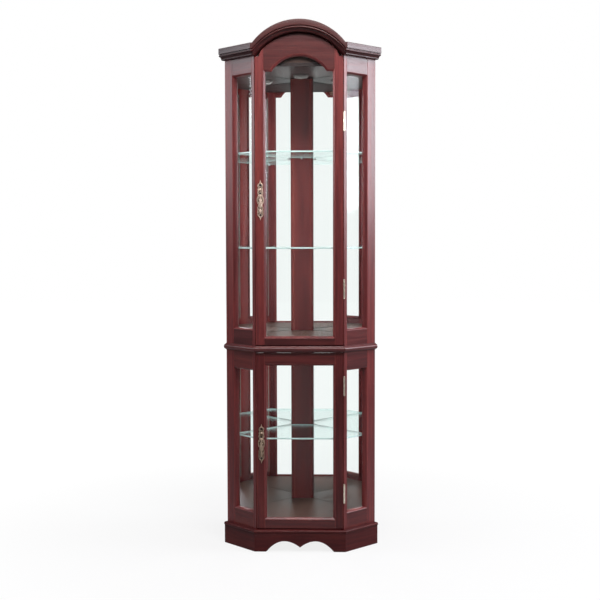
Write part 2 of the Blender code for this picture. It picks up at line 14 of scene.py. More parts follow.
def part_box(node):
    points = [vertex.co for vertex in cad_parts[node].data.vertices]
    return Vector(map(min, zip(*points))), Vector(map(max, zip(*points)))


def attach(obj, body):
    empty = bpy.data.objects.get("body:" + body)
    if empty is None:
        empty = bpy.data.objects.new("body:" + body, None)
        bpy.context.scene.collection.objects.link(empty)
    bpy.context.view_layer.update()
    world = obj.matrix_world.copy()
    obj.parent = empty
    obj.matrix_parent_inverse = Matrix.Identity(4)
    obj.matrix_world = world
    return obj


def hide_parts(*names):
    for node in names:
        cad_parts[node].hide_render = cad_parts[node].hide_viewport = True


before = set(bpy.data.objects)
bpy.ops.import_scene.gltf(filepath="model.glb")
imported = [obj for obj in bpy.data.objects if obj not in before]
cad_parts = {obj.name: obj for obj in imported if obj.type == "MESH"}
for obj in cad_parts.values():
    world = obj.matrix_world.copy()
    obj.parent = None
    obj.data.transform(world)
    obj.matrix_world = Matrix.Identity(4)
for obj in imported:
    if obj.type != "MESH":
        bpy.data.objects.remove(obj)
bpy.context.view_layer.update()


def lowest(node):
    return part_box(node)[0]


def highest(node):
    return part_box(node)[1]


def middle_of(node):
    return (lowest(node) + highest(node)) / 2


def heights(node):
    return lowest(node).z, highest(node).z


# Sizes read from the frame
FRONT_Y = lowest("upper_door_frame").y
FREE_GAP = 0.0020
GAP = 0.0003
HALF = FREE_GAP - lowest("upper_door_frame").x
DOOR_LEFT = lowest("upper_door_frame").x
DOOR_RIGHT = highest("upper_door_frame").x
DOOR_T = highest("upper_door_frame").y - FRONT_Y
BODY_HALF = highest("side_frame_right").x
SIDE_RISE = BODY_HALF - HALF
COS45 = math.sqrt(0.5)
MITRE = math.tan(math.radians(22.5))
SIDE_LENGTH = SIDE_RISE / COS45
HEIGHT = highest("crown_front").z
CROWN_TOP = highest("side_frame_left").z
REAR_Y = highest("back_post").y - FRONT_Y
POST_FRONT_Y = lowest("back_post").y - FRONT_Y
POST_WIDTH = 0.0820
REAR_WIDTH = 2 * (BODY_HALF + SIDE_RISE - REAR_Y)
CEILING_Z = lowest("ceiling").z
BELT_Z = middle_of("belt_deck").z
BELT_HEIGHT = highest("belt_front").z - lowest("belt_front").z
BASE_TOP = highest("skirt_front").z

# The joiner's own sizes
SIDE_T = 0.0200
WALL_T = 0.0120
MIRROR_T = 0.0040
STOP_Y = DOOR_T + 0.0015
SIDE_STILE_INNER = STOP_Y / COS45 - SIDE_T
SIDE_STILE_FRONT = SIDE_STILE_INNER + 0.0114
PIN_ALONG = SIDE_STILE_INNER + 0.0039
SIDE_WINDOW_END = SIDE_LENGTH - 0.0450
UPPER_WINDOW_Z = (0.777, 1.652)
LOWER_WINDOW_Z = (0.137, 0.632)
MIRROR_FACE = WALL_T + GAP + MIRROR_T
POST_FACE_U = (POST_FRONT_Y - SIDE_RISE + BODY_HALF - POST_WIDTH / 2) * COS45
CROWN_OUT = 0.0280
CROWN_DROP = 0.0400
BELT_OUT = 0.0120
SKIRT_OUT = 0.0130
SKIRT_BEAD = 0.0110
ARCH_RADIUS = 0.2000
LIGHT_HALF = 0.1155
LIGHT_PEAK = 1.7100
LIGHT_SHOULDER = 1.6580
LIGHT_ARC_HALF = 0.0950
LIGHT_FOOT = 0.7520
LOWER_LIGHT_Z = (0.117, 0.650)
SHOULDER_X = 0.1300
SHOULDER_RUN = 0.0070
SHOULDER_GAP = 0.0030
ARCH_GAP = 0.0040
SCALLOP_END = 0.1150
SCALLOP_JOIN = 0.0530
SCALLOP_RISE = 0.0370
SCALLOP_POINT = 0.0220
SIDE_STICKING = 0.0050
STICKING = 0.0070
GLASS_LAP = 0.0060
GLASS_Y = 0.0098
GLASS_T = 0.0030
HINGE_OUT = 0.0008
HINGE_AXIS = (HALF + HINGE_OUT, -0.0040)
LEAF_T = 0.0009
LEAF_PLAY = 0.0002
HINGE_HALF = 0.0315
KNUCKLE = 0.0032
CROWN_CORNER = HALF + CROWN_OUT * MITRE
ARCH_END = math.sqrt(ARCH_RADIUS ** 2 - (ARCH_RADIUS - (HEIGHT - CROWN_TOP)) ** 2)


# Shader nodes

class Wire:
    """A socket that works in arithmetic: each operator adds the Math node for it."""

    def __init__(self, finish, socket):
        self.finish = finish
        self.socket = socket

    def math(self, operation, first, second):
        return self.finish.node("ShaderNodeMath", {0: first, 1: second}, operation=operation)

    def __add__(self, other):
        return self.math("ADD", self, other)

    def __sub__(self, other):
        return self.math("SUBTRACT", self, other)

    def __mul__(self, other):
        return self.math("MULTIPLY", self, other)

    def __pow__(self, other):
        return self.math("POWER", self, other)

    def larger(self, other):
        return self.math("MAXIMUM", self, other)


class Finish:
    """A material, or the world, built from nodes: node() adds any of them, and the rest are short forms."""

    def __init__(self, name, kind=bpy.data.materials):
        self.owner = kind.new(name)
        self.owner.use_nodes = True
        self.tree = self.owner.node_tree
        self.tree.nodes.clear()

    def node(self, kind, sockets=None, out=0, **settings):
        made = self.tree.nodes.new(kind)
        for setting, value in settings.items():
            setattr(made, setting, value)
        for socket, value in (sockets or {}).items():
            if isinstance(value, Wire):
                self.tree.links.new(value.socket, made.inputs[socket])
            else:
                made.inputs[socket].default_value = value
        return Wire(self, made.outputs[out]) if made.outputs else made

    def stretched(self, scale=(1.0, 1.0, 1.0)):
        """The piece's own coordinates, drawn out along the grain by a small scale there."""
        own = self.node("ShaderNodeTexCoord", out="Object")
        return self.node("ShaderNodeMapping", {"Vector": own, "Scale": scale})

    def noise(self, where, scale, detail=2.0, roughness=0.5, distortion=0.0):
        return self.node("ShaderNodeTexNoise", {"Vector": where, "Scale": scale, "Detail": detail,
                                                "Roughness": roughness, "Distortion": distortion})

    def ranged(self, value, low, high, to_low=0.0, to_high=1.0):
        return self.node("ShaderNodeMapRange", {0: value, 1: low, 2: high, 3: to_low, 4: to_high})

    def rubbed(self, noise, low, high):
        """A roughness that drifts between two values with a noise."""
        return self.ranged(noise, 0.3, 0.7, low, high)

    def mixed(self, share, first, second):
        first, second = (tone if isinstance(tone, Wire) else (*tone, 1.0) for tone in (first, second))
        return self.node("ShaderNodeMix", {0: share, 6: first, 7: second}, out=2, data_type="RGBA")

    def bump(self, height, distance, strength):
        return self.node("ShaderNodeBump", {"Height": height, "Distance": distance, "Strength": strength})

    def surface(self, **sockets):
        named = {name.replace("_", " "): value for name, value in sockets.items()}
        return self.shown(self.node("ShaderNodeBsdfPrincipled", named))

    def shown(self, shader, output="ShaderNodeOutputMaterial"):
        self.node(output, {"Surface": shader})
        return self.owner

    def seen_directly(self):
        """1 for what the eye or a mirror looks at, and 0 for what only lights something."""
        eye = self.node("ShaderNodeLightPath", out="Is Camera Ray")
        return eye.larger(self.node("ShaderNodeLightPath", out="Is Singular Ray"))


def shaded(tone, share):
    return tuple(part * share for part in tone)


GRAIN = {"upright": (1.0, 1.0, 0.045), "level": (0.045, 1.0, 1.0)}
# From the darkest streaks to pale edges; the edges' paler tones are a painted highlight along them, with some
# wear
CHERRY_TONES = ((0.046, 0.0078, 0.0088), (0.094, 0.0150, 0.0155), (0.150, 0.0260, 0.0220),
                (0.200, 0.052, 0.045))


def cherry(name, run, depth=1.0, gloss=0.26, wear_and_sheen=False):
    """Stained cherry under a satin coat: slow colour drift, fine streaks along the run, and short pores."""
    finish = Finish(name)
    # depth darkens every tone alike; the darker copies below use it as painted shade
    deep, middle, pale = (shaded(tone, depth) for tone in (CHERRY_TONES[1:] if wear_and_sheen else CHERRY_TONES[:3]))
    grain = finish.stretched(GRAIN[run])
    drift = finish.noise(grain, 11.0, 2.0, 0.5, 0.6)
    streak = finish.noise(grain, 95.0, 3.0, 0.6, 0.3)
    fibre = finish.noise(grain, 520.0, 2.0, 0.6)
    pore = finish.ranged(finish.noise(grain, 1300.0, 1.0), 0.60, 0.74)
    tone = drift * 0.55 + streak * 0.45
    stain = finish.mixed(finish.ranged(tone, 0.36, 0.52), deep, middle)
    stain = finish.mixed(finish.ranged(tone, 0.50, 0.68), stain, pale)
    stain = finish.mixed(finish.ranged(fibre, 0.42, 0.66, 0.0, 0.35), stain, deep)
    stain = finish.mixed(pore * 0.55, stain, shaded(deep, 0.35))
    rough = finish.rubbed(streak, 0.30, 0.40) + pore * 0.12
    relief = fibre * 0.45 + streak * 0.35 - pore * 0.6
    return finish.surface(Base_Color=stain, Roughness=rough, Normal=finish.bump(relief, 0.00018, 0.45),
                          Specular_IOR_Level=gloss, Coat_Weight=0.2 * gloss, Coat_Roughness=0.22)


def veneer(name, deep, pale):
    """The dark veneer inside, with its grain from front to back."""
    finish = Finish(name)
    grain = finish.stretched((1.0, 0.05, 1.0))
    streak = finish.noise(grain, 80.0, 4.0, 0.6, 0.4)
    fibre = finish.noise(grain, 600.0, 2.0)
    stain = finish.mixed(finish.ranged(streak, 0.35, 0.65), deep, pale)
    stain = finish.mixed(finish.ranged(fibre, 0.5, 0.7, 0.0, 0.4), stain, deep)
    return finish.surface(Base_Color=stain, Roughness=finish.rubbed(streak, 0.34, 0.46),
                          Normal=finish.bump(fibre, 0.0001, 0.3), Specular_IOR_Level=0.18)


def back_board():
    """Painted hardboard with a faint press texture."""
    finish = Finish("back_board")
    mottle = finish.noise(finish.stretched(), 60.0, 4.0)
    pimple = finish.noise(finish.stretched(), 900.0, 2.0)
    paint = finish.mixed(finish.ranged(mottle, 0.35, 0.7), (0.050, 0.018, 0.017), (0.082, 0.030, 0.028))
    return finish.surface(Base_Color=paint, Roughness=finish.rubbed(mottle, 0.52, 0.68),
                          Normal=finish.bump(pimple, 0.0002, 0.5))


# Smooth enough for a clear reflection
SHARP = 0.002


def mirror():
    """Silvered glass with a faint green cast that clouds a little."""
    finish = Finish("mirror")
    haze = finish.noise(finish.stretched((1, 1, 0.4)), 14.0, 3.0)
    silver = finish.mixed(haze, (0.945, 0.965, 0.960), (0.975, 0.985, 0.982))
    return finish.surface(Base_Color=silver, Metallic=1.0, Roughness=SHARP)


def glass_edge(name, deep, pale):
    """The ground edge of a pane, where the glass shows its own green-blue."""
    finish = Finish(name)
    grind = finish.noise(finish.stretched((1, 1, 6)), 240.0, 3.0)
    tint = finish.mixed(finish.ranged(grind, 0.3, 0.7), deep, pale)
    return finish.surface(Base_Color=tint, Roughness=finish.rubbed(grind, 0.12, 0.28),
                          Specular_IOR_Level=0.7, Coat_Weight=0.5, Coat_Roughness=0.08)


def clear_glass(name, tint, least, most):
    """A flat pane: what is behind shows through, and the surface mirrors more as it is met more edge on."""
    finish = Finish(name)
    smear = finish.noise(finish.stretched(), 9.0, 3.0)
    cast = finish.mixed(smear, (0.93, 0.97, 0.97), (0.97, 0.99, 0.99))
    through = finish.node("ShaderNodeBsdfTransparent", {"Color": (*tint, 1.0)})
    shine = finish.node("ShaderNodeBsdfPrincipled", {"Base Color": cast, "Metallic": 1.0, "Roughness": SHARP})
    edge_on = finish.node("ShaderNodeLayerWeight", {"Blend": 0.5}, out="Facing")
    share = edge_on ** 5 * (most - least) + least
    return finish.shown(finish.node("ShaderNodeMixShader", {0: share, 1: through, 2: shine}))


def brass(name, bright, dark, rough):
    """Cast brass: brighter on the relief, darker where lacquer and dust sit."""
    finish = Finish(name)
    own = finish.stretched()
    patina = finish.noise(own, 220.0, 4.0, 0.62)
    speck = finish.noise(own, 1500.0, 2.0)
    metal = finish.mixed(finish.ranged(patina, 0.36, 0.62), dark, bright)
    wear_and_sheen = finish.rubbed(patina, rough + 0.14, rough - 0.04)
    return finish.surface(Base_Color=metal, Metallic=1.0, Roughness=wear_and_sheen,
                          Normal=finish.bump(patina * 0.5 + speck * 0.4, 0.0002, 0.5))


def steel():
    """Bright steel, brushed round."""
    finish = Finish("pin_steel")
    brush = finish.noise(finish.stretched((1, 1, 12)), 900.0, 2.0)
    metal = finish.mixed(brush, (0.52, 0.52, 0.53), (0.72, 0.72, 0.73))
    return finish.surface(Base_Color=metal, Metallic=1.0, Roughness=finish.rubbed(brush, 0.20, 0.34))


def moulded(name, deep, pale, rough):
    """Moulded plastic or painted metal with a fine even texture."""
    finish = Finish(name)
    own = finish.stretched()
    mottle = finish.noise(own, 120.0, 3.0)
    pimple = finish.noise(own, 2200.0, 1.0)
    colour = finish.mixed(mottle, deep, pale)
    return finish.surface(Base_Color=colour, Roughness=finish.rubbed(mottle, rough - 0.05, rough + 0.06),
                          Normal=finish.bump(pimple, 0.00008, 0.4))


# Edge finishes one tone paler than the faces: painted highlight along the eased edges, with some wear
UPRIGHT_EDGE = cherry("cherry_upright_edge_highlight", "upright", wear_and_sheen=True)
LEVEL_EDGE = cherry("cherry_level_edge_highlight", "level", 0.8, wear_and_sheen=True)
UPRIGHT_WOOD = (cherry("cherry_upright", "upright"), UPRIGHT_EDGE)
# Darker copies of the one cherry, as painted shade: the level rails, the crown, the upper door's head rail,
# the base and the lower door's stiles
LEVEL_WOOD = (cherry("cherry_level", "level", 0.64), LEVEL_EDGE)
CROWN_WOOD = (cherry("cherry_crown_shaded", "level", 0.33, 0.22), LEVEL_EDGE)
BASE_WOOD = (cherry("cherry_base_shaded", "level", 0.52, 0.10), LEVEL_EDGE)
HEAD_WOOD = {"upper": (cherry("cherry_head_shaded", "level", 0.48), LEVEL_EDGE), "lower": LEVEL_WOOD}
STILE_WOOD = {"upper": UPRIGHT_WOOD, "lower": (cherry("cherry_lower_shaded", "upright", 0.68, 0.18), UPRIGHT_EDGE)}
VENEER = veneer("inner_veneer", (0.026, 0.0128, 0.0095), (0.054, 0.029, 0.0225))
# A darker copy of the inside veneer: painted shade on the ceiling
CEILING_VENEER = veneer("ceiling_veneer_shaded", (0.012, 0.0080, 0.0078), (0.026, 0.018, 0.0175))
BOARD = back_board()
MIRROR = mirror()
MIRROR_EDGE = glass_edge("mirror_edge", (0.10, 0.17, 0.15), (0.22, 0.32, 0.29))
MIRROR_BACK = moulded("mirror_backing", (0.16, 0.16, 0.165), (0.22, 0.22, 0.225), 0.5)
DOOR_GLASS = clear_glass("door_glass", (0.990, 0.995, 0.993), 0.004, 0.80)
SHELF_GLASS = clear_glass("shelf_glass", (0.90, 0.965, 0.955), 0.040, 0.90)
PANE_EDGE = glass_edge("pane_edge", (0.16, 0.30, 0.26), (0.34, 0.50, 0.45))
SHELF_EDGE = glass_edge("shelf_edge", (0.26, 0.42, 0.40), (0.58, 0.74, 0.72))
PULL_RELIEF = brass("pull_relief", (0.92, 0.74, 0.63), (0.50, 0.37, 0.29), 0.40)
PULL_GROUND = brass("pull_ground", (0.34, 0.25, 0.19), (0.050, 0.032, 0.022), 0.44)
# The relief's brass made rougher and darker, the darkening a painted shade that dulls the drop's highlight
PULL_DROP = brass("pull_drop", (0.60, 0.47, 0.39), (0.34, 0.25, 0.19), 0.46)
PULL_SHADE = moulded("pull_shade", (0.008, 0.006, 0.005), (0.016, 0.011, 0.009), 0.6)
# Darker copies of the upper pull's brass: painted shade on the lower pull
LOWER_RELIEF = brass("lower_pull_relief_shaded", (0.52, 0.40, 0.30), (0.24, 0.17, 0.12), 0.32)
LOWER_GROUND = brass("lower_pull_ground_shaded", (0.22, 0.155, 0.110), (0.045, 0.029, 0.020), 0.42)
HINGE_BRASS = brass("hinge_brass", (0.90, 0.84, 0.72), (0.62, 0.54, 0.40), 0.24)
STEEL = steel()
LAMP_BODY = moulded("lamp_housing", (0.045, 0.040, 0.038), (0.070, 0.064, 0.060), 0.36)
LENS = moulded("lamp_lens", (0.050, 0.047, 0.045), (0.080, 0.076, 0.072), 0.22)
CATCH = moulded("catch_plastic", (0.075, 0.042, 0.030), (0.12, 0.068, 0.048), 0.46)


# Mesh and piece helpers

def from_rings(name, rings, loop=False):
    """A mesh through rings of the same number of points: capped at its ends, or closed on itself."""
    bm = bmesh.new()
    made = [[bm.verts.new(point) for point in ring] for ring in rings]
    count = len(rings[0])
    pairs = list(zip(made, made[1:]))
    if loop:
        pairs.append((made[-1], made[0]))
    for near, far in pairs:
        for i in range(count):
            j = (i + 1) % count
            bm.faces.new((near[i], near[j], far[j], far[i]))
    if not loop:
        bm.faces.new(made[0])
        bm.faces.new(made[-1])
    bmesh.ops.recalc_face_normals(bm, faces=bm.faces)
    mesh = bpy.data.meshes.new(name)
    bm.to_mesh(mesh)
    bm.free()
    return mesh


def upright(name, outline, low, high):
    return from_rings(name, [[(x, y, z) for x, y in outline] for z in (low, high)])


def facing(name, outline, front, back):
    return from_rings(name, [[(x, y, z) for x, z in outline] for y in (front, back)])


def across(name, outline, left, right):
    return from_rings(name, [[(x, y, z) for y, z in outline] for x in (left, right)])


def rectangle(left, right, low, high):
    return [(left, low), (right, low), (right, high), (left, high)]


def arc(centre, radius, start, end, steps):
    """Points of an arc, with its angles in degrees."""
    turns = [math.radians(start + (end - start) * i / steps) for i in range(steps + 1)]
    return [(centre[0] + radius * math.cos(a), centre[1] + radius * math.sin(a)) for a in turns]


def circle(sides):
    """Points of a circle of radius 1."""
    return arc((0, 0), 1, 0, 360 * (sides - 1) / sides, sides - 1)


def mirrored(half):
    """An outline closed by its own left-right reflection."""
    return half + [(-x, y) for x, y in reversed(half)]


def turned(name, profile, sides):
    """A lathed shape round Z from (height, radius) points; a radius of 0 closes an end."""
    rings = []
    for height, radius in profile:
        reach = max(radius, 1e-5)
        rings.append([(x * reach, y * reach, height) for x, y in circle(sides)])
    return from_rings(name, rings)


def merged(name, meshes):
    """One mesh from several, each kept as its own shell."""
    bm = bmesh.new()
    for mesh in meshes:
        bm.from_mesh(mesh)
    result = bpy.data.meshes.new(name)
    bm.to_mesh(result)
    bm.free()
    return result


def linked(name, data):
    obj = bpy.data.objects.new(name, data)
    bpy.context.scene.collection.objects.link(obj)
    return obj


def moved(mesh, matrix):
    mesh.transform(matrix)
    return mesh


def placed(x, y, z, degrees=0, axis="Z"):
    """A place, and a turn there about one axis."""
    return Matrix.Translation((x, y, z)) @ Matrix.Rotation(math.radians(degrees), 4, axis)


def painted(mesh, choose):
    """Gives each face the material index that choose returns for its normal."""
    for face in mesh.polygons:
        face.material_index = choose(face.normal)
    return mesh


pieces = []
GRAIN_STEP = Vector((0.131, 0.173, 0.217))


def add_piece(name, mesh, finishes, replaces=(), body="cabinet", place=None, edge=0.0, segments=2,
              smooth=32.0):
    """One visible piece, riding on a body: its mesh, its finishes, and eased edges in the second finish.

    Its own coordinates are shifted, so that no two neighbours show the same grain.
    """
    shift = GRAIN_STEP * (len(pieces) % 23)
    mesh.transform(Matrix.Translation(shift))
    for finish in finishes:
        mesh.materials.append(finish)
    mesh.shade_smooth()
    mesh.set_sharp_from_angle(angle=math.radians(smooth))
    obj = linked(name, mesh)
    obj.matrix_world = Matrix.Translation((0, FRONT_Y, 0)) @ (place or Matrix()) @ Matrix.Translation(-shift)
    if edge:
        bevel = obj.modifiers.new("eased edges", "BEVEL")
        bevel.width = edge
        bevel.segments = segments
        bevel.limit_method = "ANGLE"
        bevel.angle_limit = math.radians(smooth)
        bevel.harden_normals = True
        bevel.material = 1 if len(finishes) > 1 else -1
    bpy.context.view_layer.update()
    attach(obj, body)
    for node in replaces:
        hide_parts(node)
    pieces.append(obj)


def wood(name, mesh, finishes, replaces, body="cabinet", place=None, edge=0.0009):
    add_piece(name, mesh, finishes, replaces, body, place, edge, segments=3)


def add_glass(name, mesh, across_axis, replaces, body="cabinet", place=None, glass=(DOOR_GLASS, PANE_EDGE),
              edge=0.0004):
    """A pane: clear on its two faces, which face along one axis, and ground round its edge."""
    painted(mesh, lambda normal: 0 if abs(getattr(normal, across_axis)) > 0.9 else 1)
    add_piece(name, mesh, glass, replaces, body, place, edge)


# Plan geometry

HANDS = (("left", -1), ("right", 1))


def wall_point(along, inward, hand):
    x = BODY_HALF - (along + inward) * COS45
    return hand * x, SIDE_RISE + (along - inward) * COS45


def inner_half_width(y, clear):
    return HALF + y - (SIDE_T + clear) / COS45


def offset_corners(out):
    front = HALF + out * MITRE
    rear = BODY_HALF + out * COS45
    rear_y = SIDE_RISE - out * COS45
    return [(-rear, rear_y), (-front, -out), (front, -out), (rear, rear_y)]


def side_place(hand):
    """A side's own frame: x runs back from the front corner (forward on the left), y inward from its face."""
    return placed(hand * HALF, 0, 0, 45 * hand)


def handed(outline, hand):
    """A plan or elevation outline turned over for the left hand."""
    return [(hand * x, y) for x, y in outline]


def wall_place(hand):
    """A rear wall's own frame: x runs back along it (forward on the left), y inward from its outer face."""
    return placed(hand * BODY_HALF, SIDE_RISE, 0, 135 if hand > 0 else 225)


# Profiles

def arch_height(x):
    if abs(x) >= ARCH_END:
        return CROWN_TOP
    return HEIGHT - ARCH_RADIUS + math.sqrt(ARCH_RADIUS ** 2 - x * x)


def arch_over(x):
    """The height of the crown's arch above a point between the case's front corners."""
    return arch_height(x * CROWN_CORNER / HALF)


def arch_shares(steps):
    """Stations from one crown corner to the other, evenly spaced round the arch."""
    reach = math.asin(ARCH_END / ARCH_RADIUS)
    turns = [reach * (2 * i / steps - 1) for i in range(steps + 1)]
    stations = [-CROWN_CORNER] + [ARCH_RADIUS * math.sin(a) for a in turns] + [CROWN_CORNER]
    return [x / CROWN_CORNER for x in stations]


def door_top(x):
    """The upper door's top edge: under the crown's arch, then down to a shoulder that clears the crown."""
    shoulder = CROWN_TOP - CROWN_DROP - SHOULDER_GAP
    curve = arch_over(min(abs(x), SHOULDER_X)) - CROWN_DROP - ARCH_GAP
    share = min(max(abs(x) - SHOULDER_X, 0.0) / SHOULDER_RUN, 1.0)
    return curve + (shoulder - curve) * share


def door_top_run(left, right, steps):
    """Points of the door's top edge from right to left."""
    xs = [right + (left - right) * i / steps for i in range(steps + 1)]
    return [(x, door_top(x)) for x in xs]


def light_arc(grow):
    """The arched head of the upper door's light, from right to left."""
    rise = LIGHT_PEAK - LIGHT_SHOULDER
    radius = (LIGHT_ARC_HALF ** 2 + rise ** 2) / (2 * rise)
    centre = LIGHT_PEAK - radius
    radius += grow
    reach = math.acos((LIGHT_SHOULDER + grow - centre) / radius)
    turns = [reach * (1 - i / 20) for i in range(41)]
    return [(radius * math.sin(a), centre + radius * math.cos(a)) for a in turns]


def upper_light(grow):
    half = LIGHT_HALF + grow
    foot = LIGHT_FOOT - grow
    shoulder = LIGHT_SHOULDER + grow
    return [(-half, foot), (half, foot), (half, shoulder), *light_arc(grow), (-half, shoulder)]


def lower_light(grow):
    half = LIGHT_HALF + grow
    return rectangle(-half, half, LOWER_LIGHT_Z[0] - grow, LOWER_LIGHT_Z[1] + grow)


def ringed(name, outline_at, section):
    """A frame of one section all round an opening; the section holds (grow, depth) points."""
    return from_rings(name, [[(x, y, z) for x, z in outline_at(grow)] for grow, y in section], loop=True)


def crown_section(back):
    """(out, drop) round the crown: fascia, quirk, bead, cove and foot."""
    fascia = [(back, 0.0), *arc((CROWN_OUT - 0.0016, -0.0016), 0.0016, 90, 0, 4), (CROWN_OUT, -0.0192),
              *arc((CROWN_OUT - 0.0014, -0.0192), 0.0014, 0, -90, 3)]
    quirk = [(0.0238, -0.0206), (0.0238, -0.0226)]
    bead = arc((0.0232, -0.0256), 0.0032, 70, -60, 7)
    cove = arc((0.0258, -0.0386), 0.0100, 110, 176, 8)
    foot = arc((0.0118, -0.0372), 0.0030, 40, -90, 6)
    return fascia + quirk + bead + cove + foot + [(back, -CROWN_DROP)]


def belt_section():
    """A bold half round between two thin fillets."""
    top = BELT_Z + BELT_HEIGHT / 2
    foot = BELT_Z - BELT_HEIGHT / 2
    nose = [(0.0035 + (BELT_OUT - 0.0035) * c, BELT_Z - (BELT_HEIGHT / 2 - 0.0026) * s)
            for c, s in arc((0, 0), 1.0, -90, 90, 14)]
    return [(GAP, top), (0.0030, top), (0.0030, top - 0.0018), *nose, (0.0030, foot + 0.0018), (0.0030, foot),
            (GAP, foot)]


def skirt_section(foot):
    bead_z = BASE_TOP - SKIRT_BEAD / 2
    bead_out = SKIRT_OUT + 0.0030 - SKIRT_BEAD / 2
    face = [(GAP, foot), (SKIRT_OUT - 0.0012, foot), (SKIRT_OUT, foot + 0.0012), (SKIRT_OUT, bead_z - 0.0052)]
    return face + arc((bead_out, bead_z), SKIRT_BEAD / 2, -62, 92, 12) + [(GAP, BASE_TOP)]


def scallop_height(x):
    """The skirt's foot: a curve up from each bracket foot, and a point that hangs in the middle."""
    x = abs(x)
    if x >= SCALLOP_END:
        return 0.0
    if x > SCALLOP_JOIN:
        share = (x - SCALLOP_JOIN) / (SCALLOP_END - SCALLOP_JOIN)
        return SCALLOP_RISE * (1 - share * share)
    share = 1 - x / SCALLOP_JOIN
    return SCALLOP_RISE - SCALLOP_POINT * share * share


def moulding(name, section, start):
    """A straight moulding between two of the plan's corners, mitred at the front ones."""
    ends = (start, start + 1)
    return from_rings(name, [[(*offset_corners(out)[end], z) for out, z in section] for end in ends])


# Case

def make_side(word, hand):
    """One glazed side: two stiles, three rails, the sticking round each window and its pane."""
    place = side_place(hand)
    nodes = [f"side_frame_{word}"]
    stick = SIDE_STICKING
    inner = SIDE_STILE_FRONT - stick
    outer = SIDE_WINDOW_END + stick
    notch = STOP_Y / COS45 / 2
    front_plan = [(0, 0), (inner, 0), (inner, SIDE_T), (SIDE_STILE_INNER, SIDE_T), (notch, notch)]
    rear_plan = rectangle(outer, SIDE_LENGTH, 0, SIDE_T)
    rail_plan = rectangle(inner, outer, 0, SIDE_T)
    parts = (("front_stile", front_plan, 0.0, CROWN_TOP, UPRIGHT_WOOD),
             ("rear_stile", rear_plan, 0.0, CROWN_TOP, UPRIGHT_WOOD),
             ("bottom_rail", rail_plan, 0.0, LOWER_WINDOW_Z[0] - stick, LEVEL_WOOD),
             ("middle_rail", rail_plan, LOWER_WINDOW_Z[1] + stick, UPPER_WINDOW_Z[0] - stick, LEVEL_WOOD),
             ("top_rail", rail_plan, UPPER_WINDOW_Z[1] + stick, CROWN_TOP, LEVEL_WOOD))
    for part, plan, low, high, finishes in parts:
        mesh = upright(part, handed(plan, hand), low, high)
        wood(f"side_{part}_{word}", mesh, finishes, nodes, place=place)
    for level, (low, high) in (("upper", UPPER_WINDOW_Z), ("lower", LOWER_WINDOW_Z)):
        def window(grow):
            return handed(rectangle(SIDE_STILE_FRONT - grow, SIDE_WINDOW_END + grow, low - grow, high + grow),
                          hand)
        section = [(stick - 0.0002, 0.0004), (0.0035, 0.0010), (0.0012, 0.0040), (0.0, 0.0064),
                   (0.0, SIDE_T - 0.0004), (stick - 0.0002, SIDE_T - 0.0004)]
        ring = ringed("sticking", window, section)
        wood(f"side_{level}_sticking_{word}", ring, UPRIGHT_WOOD, nodes, place=place, edge=0)
        near = SIDE_T + GAP
        add_glass(f"side_{level}_pane_{word}", facing("pane", window(0.0042), near, near + GLASS_T), "y",
                  [f"side_glass_{level}_{word}"], place=place)
        stop = [(0.0046, near), (0.0046, near + 0.0033), (0.0030, near + 0.0033), (0.0030, near + 0.0040),
                (0.0036, near + 0.0045), (0.0070, near + 0.0042), (0.0085, near + 0.0030), (0.0085, near)]
        wood(f"side_{level}_stop_{word}", ringed("stop", window, stop), UPRIGHT_WOOD, nodes, place=place,
             edge=0)


def make_walls():
    """The corner post, and on each wall the painted board with its screws and its two mirrors."""
    half = [wall_point(POST_FACE_U, 0, 1), (REAR_WIDTH / 2, REAR_Y)]
    edge = POST_WIDTH / 2
    bead = arc((edge - 0.003, POST_FRONT_Y + 0.003), 0.003, 0, -90, 5)
    groove = [(edge - 0.0120, POST_FRONT_Y), (edge - 0.0112, POST_FRONT_Y + 0.0016),
              (edge - 0.0093, POST_FRONT_Y + 0.0016), (edge - 0.0085, POST_FRONT_Y)]
    outline = mirrored(groove + bead[::-1] + half)
    wood("corner_post", upright("post", outline, 0.0, CROWN_TOP), UPRIGHT_WOOD, ["back_post"], edge=0.0006)
    start = SIDE_T + GAP
    end = POST_FACE_U - GAP
    bays = (("upper", highest("upper_floor").z + GAP, CEILING_Z - GAP),
            ("lower", highest("bottom_deck").z + GAP, lowest("belt_deck").z - GAP))
    for word, hand in HANDS:
        place = wall_place(hand)
        board = upright("board", handed(rectangle(start, end, 0, WALL_T), hand), 0.0, CROWN_TOP)
        add_piece(f"wall_board_{word}", board, (BOARD,), [f"back_panel_{word}"], place=place,
                  edge=0.0010)
        make_board_screws(word, hand, place, start, end)
        for level, low, high in bays:
            plan = handed(rectangle(start, end, WALL_T + GAP, MIRROR_FACE), hand)
            sheet = upright("sheet", plan, low, high)
            painted(sheet, lambda normal: 0 if normal.y > 0.9 else 2 if normal.y < -0.9 else 1)
            add_piece(f"wall_mirror_{level}_{word}", sheet, (MIRROR, MIRROR_EDGE, MIRROR_BACK),
                      [f"mirror_{level}_{word}"], place=place, edge=0.0005, segments=1)


def make_board_screws(word, hand, place, start, end):
    """Round-headed screws down both edges of a wall board, on its outer face."""
    shells = []
    for along in (start + 0.010, end - 0.010):
        for i in range(8):
            z = 0.06 + (CROWN_TOP - 0.12) * i / 7
            profile = [(0.0, 0.0036), (0.0004, 0.0036), (0.0010, 0.0030), (0.0014, 0.0018), (0.0015, 0.0)]
            shells.append(moved(turned("head", profile, 16), placed(hand * along, -0.0001, z, 90, "X")))
    add_piece(f"board_screws_{word}", merged("screws", shells), (STEEL,), place=place)


def deck_outline(front_y):
    post_side = POST_FACE_U - GAP
    half = [(inner_half_width(front_y, GAP), front_y),
            wall_point(SIDE_T + GAP, WALL_T + GAP, 1),
            wall_point(post_side, WALL_T + GAP, 1),
            wall_point(post_side, MIRROR_FACE + GAP, 1)]
    half.append((half[-1][0] - GAP, POST_FRONT_Y - 2 * GAP))
    return mirrored(half)


